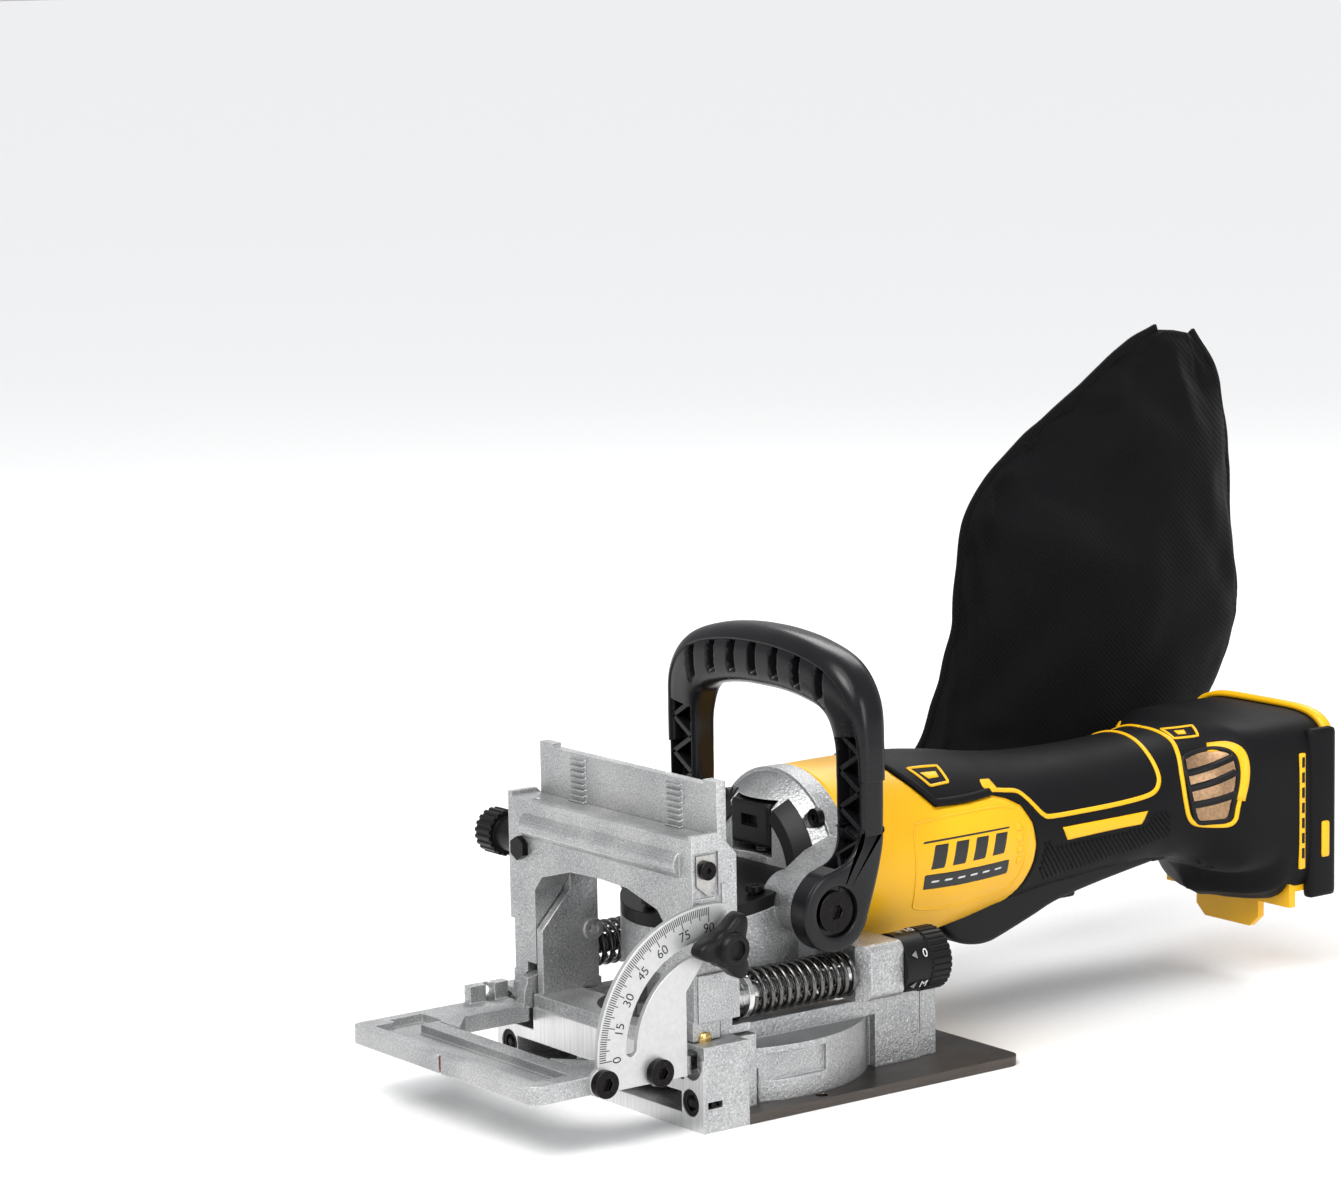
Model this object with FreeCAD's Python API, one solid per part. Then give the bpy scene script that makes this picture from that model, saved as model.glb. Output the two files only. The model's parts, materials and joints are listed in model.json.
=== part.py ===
import FreeCAD, Part
import math
import os

from FreeCAD import Vector

os.makedirs("parts", exist_ok=True)

# Biscuit joiner. Millimetres, +Z up. The shapes are drawn with Y = 0 on the front working
# face, +Y towards the battery end and Z = 0 under the sole. Every shape is moved forward by
# half the base length as it is saved, so the origin is the centre of the sole.

# base
BASE_WIDTH = 130.0
BASE_LENGTH = 150.0
HALF = BASE_WIDTH / 2
SOLE = 3.7
BLOCK_DEPTH = 20.5
BLOCK_TOP = 31.5
BASE_WALL_TOP = 30.5
WALL_IN = 37.5
WALL_OUT = 43.0
WALL_REAR = 118.0
CHAMBER_TOP = 16.5
NECK_ROOM = 25.0
FLANGE_ROOM = 16.5
BULGE_TOP = 24.0
NOTCH_IN = 41.0
NOTCH_OUT = 53.5
NOTCH_FLOOR = 18.0
SLOT_HALF = 52.0
SLOT_LOW = 5.8
SLOT_HIGH = 13.4

# blade and drive line
BLADE_Z = 10.0
BLADE_R = 51.0
SPINDLE_Y = 53.0
PLUNGE = 22.0
MOTOR_Z = 68.0
BODY_Z = 76.0
CROWN_TEETH = 36
PINION_TEETH = 12
CROWN_R = 18.0
BEVEL_R = CROWN_R * PINION_TEETH / CROWN_TEETH

# height carriage
PLATE_FRONT = 15.6
PLATE_THICK = 4.0
PLATE_TOP = 122.5
PLATE_HALF = 55.0
RACK_X = 30.0
RACK_MODULE = 0.7
RACK_TEETH = 12
SHAFT_Z = 87.0
SHAFT_Y = 10.5
SHAFT_R = 3.0
CARRIAGE_FRONT = 2.2
CARRIAGE_REAR = 15.3
CARRIAGE_TOP = 104.5
LEG_IN = 41.3
CHEEK_IN = 55.5
CHEEK_OUT = 58.7

# fence
PIVOT_Y = 6.5
PIVOT_Z = 32.5
PIN_R = 3.0
FENCE_FACE = 21.2
FENCE_THICK = 6.6
FENCE_FRONT = -69.0
FENCE_HALF = 60.0
FENCE_RIGHT = 59.2
QUADRANT_THICK = 2.0
QUADRANT_R = 49.5
LOCK_R = 35.0
LOCK_Y = 9.0
LOCK_Z = PIVOT_Z + math.sqrt(LOCK_R ** 2 - (LOCK_Y - PIVOT_Y) ** 2)

# guide rods
ROD_X = 49.5
ROD_Z = 44.0
ROD_R = 4.0
SPRING_R = 7.7
WIRE_R = 1.0
SPRING_FRONT = 29.2
EAR_FRONT = 79.0
EAR_REAR = 98.0
TURRET_REAR = 120.0
TURRET_R = 12.0

# D-handle
GRIP_Y = 84.0
HANDLE_HALF = 60.5
BOSS_Y = 66.5
BOSS_Z = 70.0
BOSS_R = 15.0

# handle tube and paddle
SHELL = 2.6
PADDLE_Y = 281.0

# dust port
PORT = Vector(-60.0, 128.0, 50.0)
PORT_TILT = 30.0
PORT_DIR = Vector(0, math.cos(math.radians(PORT_TILT)), math.sin(math.radians(PORT_TILT)))

AXES = {"X": Vector(1, 0, 0), "Y": Vector(0, 1, 0), "Z": Vector(0, 0, 1)}
NUDGE = 0.5


def at(axis, along, pair):
    """The point at one place along an axis, with the other two coordinates in order."""
    u, v = pair
    if axis == "X":
        return Vector(along, u, v)
    if axis == "Y":
        return Vector(u, along, v)
    return Vector(u, v, along)


def box(x0, x1, y0, y1, z0, z1):
    return Part.makeBox(x1 - x0, y1 - y0, z1 - z0, Vector(x0, y0, z0))


def cyl(axis, radius, start, end, pair):
    return Part.makeCylinder(radius, end - start, at(axis, start, pair), AXES[axis])


def cone(axis, r0, r1, start, end, pair):
    return Part.makeCone(r0, r1, end - start, at(axis, start, pair), AXES[axis])


def prism(axis, start, end, points):
    """A polygon in the plane across an axis, drawn out along it."""
    wire = Part.makePolygon([at(axis, start, p) for p in points + points[:1]])
    return Part.Face(wire).extrude(AXES[axis] * (end - start))


def fuse(shapes):
    return shapes[0].fuse(shapes[1:]).removeSplitter()


def cut(shape, tools):
    for tool in tools:
        shape = shape.cut(tool)
    return shape


def mirror(shape):
    return shape.mirror(Vector(0, 0, 0), Vector(1, 0, 0))


def both(shapes):
    """Each shape and its twin across the mid-plane."""
    return list(shapes) + [mirror(s) for s in shapes]


def spun(axis, shape, angle, pair):
    turned = shape.copy()
    turned.rotate(at(axis, 0, pair), AXES[axis], angle)
    return turned


def round_edges(shape, radius, choose):
    """Round the edges that a test picks, and leave the shape alone if none is picked."""
    edges = [e for e in shape.Edges if choose(e)]
    return shape.makeFillet(radius, edges) if edges else shape


def runs_along(axis):
    """A test for straight edges parallel to an axis."""
    def test(edge):
        if len(edge.Vertexes) != 2:
            return False
        run = edge.Vertexes[1].Point.sub(edge.Vertexes[0].Point)
        return abs(abs(run.dot(AXES[axis])) - run.Length) < 1e-6
    return test


def disc_screw(axis, head_r, head, shank_r, shank, start, pair, sign=1, socket=2.5):
    """A screw along an axis: a head with a hexagon socket, then a shank beyond it."""
    head_end = start + sign * head
    tip = head_end + sign * shank
    lo, hi = sorted((start, head_end))
    body = cyl(axis, head_r, lo, hi, pair)
    lo, hi = sorted((head_end, tip))
    body = body.fuse(cyl(axis, shank_r, lo, hi, pair))
    lo, hi = sorted((start - sign * NUDGE, start + sign * head * 0.6))
    u, v = pair
    turns = [math.radians(60 * k) for k in range(6)]
    hexagon = [(u + socket * math.cos(t), v + socket * math.sin(t)) for t in turns]
    return body.cut(prism(axis, lo, hi, hexagon))


def save(node, shape):
    """Write one node, moved so that the origin is the centre of the sole."""
    if isinstance(shape, list):
        shape = Part.makeCompound(shape)
    moved = shape.copy()
    moved.translate(Vector(0, -BASE_LENGTH / 2, 0))
    moved.exportStep("parts/" + node + ".step")
    volumes = [s.Volume for s in moved.Solids]
    print(node, "valid", moved.isValid(), "solids", len(volumes), "cm3", round(sum(volumes) / 1000, 2))


# ---------------------------------------------------------------- base casting
FACE_TOP = 26.5
RELIEF_DEPTH = 0.6
PIN_X = 57.2
PIN_Z = 10.0
RECESS_Z = 24.2
CHAMBER_R = 54.2
BULGE_R = 58.0
SCOOP_REAR = 96.6
CROSS_FRONT = 109.0
TAIL_REAR = 127.0
SPOUT_SCREWS = [(98.0, 21.0), (109.0, 21.0)]
SCREW_SPOTS = [(57.0, 16.5), (39.8, 104.0), (25.0, 114.0)]

block = box(-HALF, HALF, 0, BLOCK_DEPTH, 0, BLOCK_TOP)
walls = both([
    box(WALL_IN, WALL_OUT, BLOCK_DEPTH, WALL_REAR, SOLE, BASE_WALL_TOP),
    box(WALL_IN + 1.5, WALL_OUT - 1.5, WALL_REAR + 1.6, TAIL_REAR, SOLE, BASE_WALL_TOP),
    box(WALL_IN, 57.0, BLOCK_DEPTH, 30.0, SOLE, BASE_WALL_TOP),
])
bulge = cyl("Z", BULGE_R, SOLE, BULGE_TOP, (0, SPINDLE_Y))
bulge = bulge.common(box(-HALF, HALF, BLOCK_DEPTH, SCOOP_REAR, SOLE, BULGE_TOP))
cross = box(-WALL_OUT, WALL_OUT, CROSS_FRONT, WALL_REAR, SOLE, CHAMBER_TOP)
cross_tail = box(-WALL_OUT + 1.5, WALL_OUT - 1.5, WALL_REAR, TAIL_REAR, SOLE, 12.0)
base = fuse([block, bulge, cross, cross_tail] + walls)

# the blade chamber, from the resting blade to the fully plunged one
chamber = fuse([
    cyl("Z", CHAMBER_R, 0, CHAMBER_TOP, (0, SPINDLE_Y)),
    cyl("Z", CHAMBER_R, 0, CHAMBER_TOP, (0, SPINDLE_Y - PLUNGE)),
    box(-CHAMBER_R, CHAMBER_R, SPINDLE_Y - PLUNGE, SPINDLE_Y, 0, CHAMBER_TOP),
])
chamber = chamber.common(box(-HALF, HALF, BLOCK_DEPTH, 108.0, SOLE, CHAMBER_TOP))
base = base.cut(chamber)
base = base.cut(box(-SLOT_HALF, SLOT_HALF, -NUDGE, BLOCK_DEPTH + NUDGE, SLOT_LOW, SLOT_HIGH))
base = base.cut(cyl("Z", NECK_ROOM, CHAMBER_TOP - NUDGE, BLOCK_TOP + 1, (0, SPINDLE_Y - PLUNGE)))
base = base.cut(cyl("Z", FLANGE_ROOM, SOLE + 1.1, CHAMBER_TOP, (0, SPINDLE_Y - PLUNGE)))
# the channel that the drive's slide plate runs in
base = base.cut(box(-WALL_IN, WALL_IN, BLOCK_DEPTH, CROSS_FRONT, CHAMBER_TOP - NUDGE, BULGE_TOP + 1))
# the stepped scoop in each side wall behind the bulge
for side in both([box(WALL_OUT - 3.5, HALF, SPINDLE_Y, SCOOP_REAR, SOLE, BULGE_TOP)]):
    base = base.cut(side.cut(cyl("Z", BULGE_R, 0, 40, (0, SPINDLE_Y))))
for side in both([box(55.4, HALF, 33.0, 62.0, 11.5, 21.5)]):
    base = base.cut(side)
# notches for the fence hinge, then the bores in the front face
for side in both([
    box(NOTCH_IN, NOTCH_OUT, -NUDGE, BLOCK_DEPTH + NUDGE, NOTCH_FLOOR, BLOCK_TOP + 1),
    cyl("Y", 5.0, -NUDGE, 14.0, (PIN_X, PIN_Z)),
    cyl("Y", 5.6, -NUDGE, 6.0, (PIN_X + 1.0, RECESS_Z)),
    box(PIN_X, HALF + 1, 2.0, 8.6, PIN_Z - 1.3, PIN_Z + 1.3),
]):
    base = base.cut(side)
# the strip behind the lowered fence, set back from the front face
base = base.cut(box(-HALF - 1, HALF + 1, -NUDGE, RELIEF_DEPTH, FACE_TOP, BLOCK_TOP + 1))
# the rebate under the block for the tongue of the sole plate
base = base.cut(box(-61.2, 61.2, 11.8, BLOCK_DEPTH + NUDGE, -NUDGE, SOLE))
for x, y in SCREW_SPOTS:
    for side in both([cyl("Z", 2.0, 0, 10.5, (x, y))]):
        base = base.cut(side)
# threaded holes for the rack plate screws and the chip channel to the dust port
FLANGE_SCREW_X = 47.0
FLANGE_SCREW_Y = 24.8
for side in both([cyl("Z", 2.5, 18.0, 40.0, (FLANGE_SCREW_X, FLANGE_SCREW_Y))]):
    base = base.cut(side)
base = base.cut(box(-HALF, -WALL_IN + 1, 98.5, 108.0, SOLE + 0.8, CHAMBER_TOP))
for spot in SPOUT_SCREWS:
    base = base.cut(cyl("X", 1.5, -WALL_OUT - 1, -WALL_IN, spot))
save("base_casting", base)

plate = box(-HALF, HALF, BLOCK_DEPTH, BASE_LENGTH, 0, SOLE)
plate = round_edges(plate, 6.0, lambda e: runs_along("Z")(e) and e.Vertexes[0].Y > 100)
plate = plate.fuse(box(-61, 61, 12, BLOCK_DEPTH, 0, SOLE)).removeSplitter()
for x, y in SCREW_SPOTS:
    for side in both([cyl("Z", 2.1, -1, 10, (x, y)), cone("Z", 4.4, 2.1, -0.01, 2.3, (x, y))]):
        plate = plate.cut(side)
for side in both([cyl("Z", 2.4, -1, 10, (60.5, 57.0))]):
    plate = plate.cut(side)
save("sole_plate", plate)


def sunk_screw(x, y, top):
    """A countersunk screw from below, its head just inside the plate."""
    head = cone("Z", 4.0, 1.9, 0.3, 2.4, (x, y))
    shank = cyl("Z", 1.9, 2.4, top, (x, y))
    drive = cyl("Z", 1.2, 0, 1.6, (x, y))
    return head.fuse(shank).cut(drive)


base_screws = both([sunk_screw(x, y, 10.0) for x, y in SCREW_SPOTS])

# ---------------------------------------------------------------- anti-slip pins
PIN_TIP = 0.6  # retracted, with the point just inside the front face
PIN_LENGTH = 7.9
PEG_BACK = 4.3


def anti_slip_pin(x):
    body = cyl("Y", 4.7, PIN_TIP, PIN_TIP + PIN_LENGTH, (x, PIN_Z))
    body = body.cut(cyl("Y", 3.1, PIN_TIP - 1, PIN_TIP + 0.8, (x, PIN_Z)))
    tip = cone("Y", 1.2, 2.6, PIN_TIP - 0.4, PIN_TIP + 0.9, (x, PIN_Z))
    lo, hi = sorted((x, math.copysign(HALF - 0.4, x)))
    return fuse([body, tip, cyl("X", 1.1, lo, hi, (PIN_TIP + PEG_BACK, PIN_Z))])


save("anti_slip_pin_right", anti_slip_pin(PIN_X))
save("anti_slip_pin_left", anti_slip_pin(-PIN_X))


def coil(axis, radius, wire, start, end, pair, turns):
    """A helical spring along +Y or +Z."""
    length = end - start - 2 * wire
    helix = Part.makeHelix(length / turns, length, radius)
    profile = Part.Wire(Part.makeCircle(wire, Vector(radius, 0, 0), Vector(0, 1, 0)))
    spring = Part.Wire(helix).makePipeShell([profile], True, True)
    if axis == "Y":
        spring.rotate(Vector(0, 0, 0), AXES["X"], -90)
    spring.translate(at(axis, start + wire, pair))
    return spring


pin_rear = PIN_TIP + PIN_LENGTH
for name, side in (("right", PIN_X), ("left", -PIN_X)):
    save("pin_spring_" + name, coil("Y", 2.6, 0.35, pin_rear + 0.1, 13.9, (side, PIN_Z), 5))

# ---------------------------------------------------------------- rack plate and guide rods
RIB_IN = 37.2
RIB_OUT = 40.8
WINDOW_TOP = 80.0
rack_tooth = RACK_MODULE * math.pi
plate_rear = PLATE_FRONT + PLATE_THICK
rack = [
    box(-PLATE_HALF, PLATE_HALF, PLATE_FRONT, plate_rear, WINDOW_TOP, PLATE_TOP),
    box(-44.0, 44.0, plate_rear, plate_rear + 5.0, WINDOW_TOP, WINDOW_TOP + 5.0),
]
rib_side = [(2.4, BLOCK_TOP), (2.4, 56.0), (15.5, 70.0), (15.5, WINDOW_TOP), (28.0, WINDOW_TOP),
            (28.0, BLOCK_TOP)]
rack += both([
    box(RIB_IN, PLATE_HALF, PLATE_FRONT, plate_rear, BLOCK_TOP, WINDOW_TOP),
    prism("X", RIB_IN, RIB_OUT, rib_side),
    box(RIB_IN, PLATE_HALF, plate_rear, 29.0, BLOCK_TOP, 34.6),
    box(40.0, PLATE_HALF, plate_rear, 20.9, 34.6, 54.0),
    box(47.0, PLATE_HALF, PLATE_FRONT, plate_rear, PLATE_TOP, PLATE_TOP + 1.6),
    cyl("X", 4.2, RIB_IN - 0.8, RIB_OUT, (25.5, 53.5)),
])
rack_plate = fuse(rack)
tooth = [(PLATE_FRONT + 0.1, -0.74), (PLATE_FRONT - 1.5, -0.2),
         (PLATE_FRONT - 1.5, 0.2), (PLATE_FRONT + 0.1, 0.74)]
rungs = []
for k in range(-2, 16):
    z = SHAFT_Z + k * rack_tooth
    for x in (-RACK_X, RACK_X):
        rungs.append(prism("X", x - 4.5, x + 4.5, [(y, z + dz) for y, dz in tooth]))
rack_plate = rack_plate.fuse(rungs).removeSplitter()
for side in both([
    cyl("X", 2.0, RIB_IN - 5, RIB_OUT + 1, (25.5, 53.5)),
    cyl("Z", 2.7, 30, 40, (FLANGE_SCREW_X, FLANGE_SCREW_Y)),
    cyl("Z", 4.3, 31.7, 40, (FLANGE_SCREW_X, FLANGE_SCREW_Y)),
    cyl("Y", ROD_R, 17.0, 22.0, (ROD_X, ROD_Z)),
]):
    rack_plate = rack_plate.cut(side)
save("rack_plate", rack_plate)
base_screws += both([
    disc_screw("Z", 4.2, 3.4, 2.4, 13.0, 35.2, (FLANGE_SCREW_X, FLANGE_SCREW_Y), sign=-1)])
rod = fuse([
    cyl("Y", ROD_R, 17.2, 95.5, (ROD_X, ROD_Z)),
    cyl("Y", 8.6, 26.9, SPRING_FRONT - 0.2, (ROD_X, ROD_Z)),
    cyl("Y", 5.6, 20.9, 26.9, (ROD_X, ROD_Z)),
])
save("guide_rods", both([rod]))

springs = []
for side in (1, -1):
    springs.append(coil("Y", SPRING_R, WIRE_R, SPRING_FRONT, EAR_FRONT - 0.4, (side * ROD_X, ROD_Z), 12.5))
save("return_springs", springs)

# ---------------------------------------------------------------- fence carriage
ARCH_SIDE = 76.0
body = box(-57.0, 57.0, CARRIAGE_FRONT, CARRIAGE_REAR, 38.5, CARRIAGE_TOP)
ARCH = [(-LEG_IN, 38.0), (-LEG_IN, ARCH_SIDE - 5), (-36.5, ARCH_SIDE + 0.5), (-18.0, 81.5), (0, 82.2),
        (18.0, 81.5), (36.5, ARCH_SIDE + 0.5), (LEG_IN, ARCH_SIDE - 5), (LEG_IN, 38.0)]
body = body.cut(prism("Y", -10, 30, ARCH))
bar = cyl("X", 5.5, -47.0, 50.0, (CARRIAGE_FRONT + 2.8, 95.0))
bar = bar.common(box(-60, 60, -10, CARRIAGE_FRONT + 5, 85, 105))
cheek_side = [(CARRIAGE_FRONT, 38.5), (CARRIAGE_FRONT, 106.5), (14.0, 106.5), (22.0, 98.0), (22.0, 38.5)]
cheeks = both([prism("X", CHEEK_IN, CHEEK_OUT - 1.2, cheek_side)])
foot_block = both([box(CHEEK_IN, CHEEK_OUT, 3.4, 21.6, 38.5, 56.0)])
rib = box(CHEEK_OUT - 1.2, CHEEK_OUT, 14.6, 16.6, 57.0, 88.0)
LUG_FRONT = 1.5
lugs = both([
    box(47.3, 53.0, LUG_FRONT, 13.5, PIVOT_Z, 39.0),
    cyl("X", 7.0, 47.3, 53.0, (PIVOT_Y, PIVOT_Z)),
    box(47.3, CHEEK_OUT - 1.2, LUG_FRONT, 13.5, BLOCK_TOP + 0.5, 39.0),
])
lock_boss = cyl("X", 6.0, CHEEK_IN, CHEEK_OUT, (LOCK_Y, LOCK_Z))
carriage = fuse([body, bar, rib, lock_boss] + cheeks + foot_block + lugs)
carriage = carriage.cut(box(-60, 60, CARRIAGE_REAR, PLATE_FRONT + 0.1, 30, 110).common(
    box(-CHEEK_IN, CHEEK_IN, 0, 40, 30, 110)))
for x in (-RACK_X, RACK_X):
    carriage = carriage.cut(box(x - 5.2, x + 5.2, 13.4, 30, 30, 110))
    carriage = carriage.cut(cyl("X", 5.6, x - 5.2, x + 5.2, (SHAFT_Y, SHAFT_Z)))
carriage = carriage.cut(cyl("X", SHAFT_R + 0.05, -70, 41.0, (SHAFT_Y, SHAFT_Z)))
carriage = carriage.cut(box(CHEEK_OUT - 2.4, HALF, 3.4, 14.0, 83.5, 100.0))
carriage = carriage.cut(cyl("Z", 1.6, 98, 110, (-45.0, 7.0)))
carriage = carriage.cut(cyl("Y", 3.0, -5, 6.6, (-49.0, 86.0)))
carriage = carriage.cut(cyl("X", 2.5, 48.0, 70, (LOCK_Y, LOCK_Z)))
carriage = carriage.cut(cyl("X", 1.6, 50.0, 60, (8.6, 93.5)))
for side in both([cyl("X", PIN_R, 40, 54, (PIVOT_Y, PIVOT_Z)),
                  cyl("X", 11.0, 40, 47.2, (PIVOT_Y, PIVOT_Z))]):
    carriage = carriage.cut(side)
carriage = carriage.cut(box(-HALF, -55.0, -1, 23, BLOCK_TOP - 1, 58.0))
save("fence_carriage", carriage)
save("hinge_pins", both([cyl("X", PIN_R, 41.8, 52.6, (PIVOT_Y, PIVOT_Z))]))

hex_turns = [math.radians(60 * k + 30) for k in range(6)]
hexagon = [(-49.0 + 4.6 * math.cos(t), 86.0 + 4.6 * math.sin(t)) for t in hex_turns]
brake = fuse([prism("Y", -0.4, CARRIAGE_FRONT, hexagon), cyl("Y", 2.9, CARRIAGE_FRONT, 6.5, (-49.0, 86.0))])
save("shaft_brake_bolt", brake)

pointer_x = CHEEK_OUT - 2.4
pointer = prism("X", pointer_x, pointer_x + 0.8,
                [(4.6, 99.0), (12.8, 99.0), (12.8, 88.0), (9.2, 84.0), (4.6, 88.0)])
save("angle_pointer", pointer.cut(cyl("X", 1.6, 50, 60, (8.6, 93.5))))
save("pointer_screw", disc_screw("X", 3.4, 1.9, 1.5, 5.5, pointer_x + 2.7, (8.6, 93.5), sign=-1, socket=1.3))

# ---------------------------------------------------------------- height knob and pinion shaft
KNOB_IN = -70.5
KNOB_OUT = -80.0
KNOB_R = 8.8
PINION_R = RACK_MODULE * RACK_TEETH / 2


def spur_pinion(x0, x1):
    """The pinion that meets one rack, with a gap facing the rack."""
    gear = cyl("X", PINION_R - 0.95, x0, x1, (SHAFT_Y, SHAFT_Z))
    blade = [(PINION_R - 1.1, -0.62), (PINION_R + 0.62, -0.2),
             (PINION_R + 0.62, 0.2), (PINION_R - 1.1, 0.62)]
    one = prism("X", x0, x1, [(SHAFT_Y + y, SHAFT_Z + z) for y, z in blade])
    step = 360.0 / RACK_TEETH
    teeth = [spun("X", one, (k + 0.5) * step, (SHAFT_Y, SHAFT_Z)) for k in range(RACK_TEETH)]
    return gear.fuse(teeth)


pinions = [spur_pinion(x - 4.4, x + 4.4) for x in (-RACK_X, RACK_X)]
shaft = cyl("X", SHAFT_R, -76.0, 40.5, (SHAFT_Y, SHAFT_Z))
save("pinion_shaft", fuse([shaft] + pinions))


def knurled(axis, radius, start, end, pair, count, groove):
    """A cylinder with round grooves along it."""
    u, v = pair
    body = cyl(axis, radius, start, end, pair)
    flutes = []
    for k in range(count):
        t = 2 * math.pi * k / count
        spot = (u + radius * math.cos(t), v + radius * math.sin(t))
        flutes.append(cyl(axis, groove, start - 1, end + 1, spot))
    return body.cut(Part.makeCompound(flutes))


knob = fuse([
    knurled("X", KNOB_R, KNOB_OUT, KNOB_IN, (SHAFT_Y, SHAFT_Z), 20, 0.7),
    cyl("X", 6.5, KNOB_IN, -60.0, (SHAFT_Y, SHAFT_Z)),
])
save("height_knob", knob.cut(cyl("X", SHAFT_R, -76.0, -50, (SHAFT_Y, SHAFT_Z))))

# ---------------------------------------------------------------- fence, quadrant and lock
arm_out = FENCE_RIGHT
top = FENCE_FACE + FENCE_THICK
RAIL_REAR = -42.0
ARM_IN = 42.0
rail = box(-FENCE_HALF, arm_out, FENCE_FRONT, RAIL_REAR, FENCE_FACE, top)
arms = [box(ARM_IN, arm_out, RAIL_REAR, -1.0, FENCE_FACE, top),
        box(-FENCE_HALF, -ARM_IN, RAIL_REAR, -1.0, FENCE_FACE, top)]
gusset = [(-3.6, top - 1), (-3.1, 32.5), (-1.0, 38.0), (-1.0, top - 1)]
lug = [(-1.5, FENCE_FACE + 5.0), (PIVOT_Y, 25.8), (PIVOT_Y, 39.2), (-1.5, 37.7)]
hinge = both([
    prism("X", 41.8, 46.9, gusset),
    prism("X", 41.8, 46.9, lug),
    cyl("X", 6.7, 41.8, 46.9, (PIVOT_Y, PIVOT_Z)),
])
flange_left = box(-FENCE_HALF, -FENCE_HALF + 4.0, -18.0, -1.0, top - 1, top + 6.5)
corner_web = both([prism("Z", FENCE_FACE, top, [(ARM_IN + 1, -41), (ARM_IN + 1, -29), (29.0, -41.0)])])
mount_pad = box(55.5, arm_out, -47.0, -9.0, FENCE_FACE, 28.0)
fence = fuse([rail, flange_left, mount_pad] + arms + hinge + corner_web)
fence = fence.cut(box(-52.0, 52.0, -63.5, -49.0, top - 3.2, top + 1))
fence = fence.cut(box(-56.0, -42.5, -54.5, RAIL_REAR + 2.5, top - 3.2, top + 1))
fence = fence.cut(box(-0.9, 0.9, FENCE_FRONT - 1, FENCE_FRONT + 1.6, FENCE_FACE - 1, top + 1))
fence = fence.cut(cyl("Z", 2.2, 10, 50, (-57.0, -9.0)))
fence = fence.cut(cyl("X", 2.0, -70, -50, (-9.0, 31.0)))
for side in both([cyl("X", PIN_R + 0.05, 40, 47.3, (PIVOT_Y, PIVOT_Z))]):
    fence = fence.cut(side)
QUAD_SCREWS = [(-41.0, 25.2), (-17.0, 25.2)]
for spot in QUAD_SCREWS:
    fence = fence.cut(cyl("X", 2.0, 52, 62, spot))
fence = round_edges(fence, 5.0, lambda e: runs_along("Z")(e) and e.Vertexes[0].Y < -60 and
                    abs(e.Vertexes[0].X) > 50 and e.Length > 5)
save("fence", fence)

quad_x = FENCE_RIGHT
pivot = (PIVOT_Y, PIVOT_Z)
disc = cyl("X", QUADRANT_R, quad_x, quad_x + QUADRANT_THICK, pivot)
reach = [(-60, FENCE_FACE + 0.3), (-60, 90), (15.0, 90), (15.0, 70.0), (4.0, 62.0), (-4.0, 52.0),
         (-4.0, FENCE_FACE + 0.3)]
quadrant = disc.common(prism("X", quad_x, quad_x + QUADRANT_THICK, reach))
quadrant = quadrant.fuse(cyl("X", 5.4, quad_x, quad_x + QUADRANT_THICK, QUAD_SCREWS[0]))
quadrant = quadrant.common(box(50, 70, -60, 30, FENCE_FACE, 90))
lock_start = math.degrees(math.atan2(LOCK_Z - PIVOT_Z, LOCK_Y - PIVOT_Y))
ring = cyl("X", LOCK_R + 2.4, 55, 65, pivot).cut(cyl("X", LOCK_R - 2.4, 54, 66, pivot))
SLOT_SPAN = 92.0
edge = [(0, 0)]
for k in range(9):
    t = math.radians(lock_start - 1.0 + SLOT_SPAN * k / 8)
    edge.append((60 * math.cos(t), 60 * math.sin(t)))
wedge = prism("X", 55, 65, [(PIVOT_Y + y, PIVOT_Z + z) for y, z in edge])
track = ring.common(wedge)
for angle in (lock_start, lock_start + 90):
    t = math.radians(angle)
    slot_end = (PIVOT_Y + LOCK_R * math.cos(t), PIVOT_Z + LOCK_R * math.sin(t))
    track = track.fuse(cyl("X", 2.4, 55, 65, slot_end))
quadrant = quadrant.cut(track)
for spot in QUAD_SCREWS:
    quadrant = quadrant.cut(cyl("X", 2.1, 55, 65, spot))
save("angle_quadrant", quadrant.removeSplitter())
QUAD_HEAD = 2.9
quad_screws = []
for spot in QUAD_SCREWS:
    head_top = quad_x + QUADRANT_THICK + QUAD_HEAD
    quad_screws.append(disc_screw("X", 5.0, QUAD_HEAD, 1.9, 8.0, head_top, spot, sign=-1))
save("quadrant_screws", quad_screws)

LOCK_FACE = quad_x + QUADRANT_THICK + 0.2
knob_parts = [
    cyl("X", 2.3, 50.5, 70.0, (LOCK_Y, LOCK_Z)),
    cyl("X", 5.0, LOCK_FACE, LOCK_FACE + 2.6, (LOCK_Y, LOCK_Z)),
    cone("X", 8.6, 6.9, LOCK_FACE + 2.6, 74.0, (LOCK_Y, LOCK_Z)),
]
for k in range(3):
    t = math.radians(36 + 120 * k)
    spot = (LOCK_Y + 11.0 * math.cos(t), LOCK_Z + 11.0 * math.sin(t))
    knob_parts.append(cyl("X", 5.2, LOCK_FACE + 3.0, 71.5, spot))
    across = [(-5.2, 0), (5.2, 0), (5.2, 11), (-5.2, 11)]
    arm = prism("X", LOCK_FACE + 3.0, 71.5, [(LOCK_Y + v, LOCK_Z + u) for u, v in across])
    knob_parts.append(spun("X", arm, math.degrees(t), (LOCK_Y, LOCK_Z)))
lock_knob = fuse(knob_parts)
save("angle_lock_knob", lock_knob.cut(cyl("X", 4.0, 72.0, 80.0, (LOCK_Y, LOCK_Z))))

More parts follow.
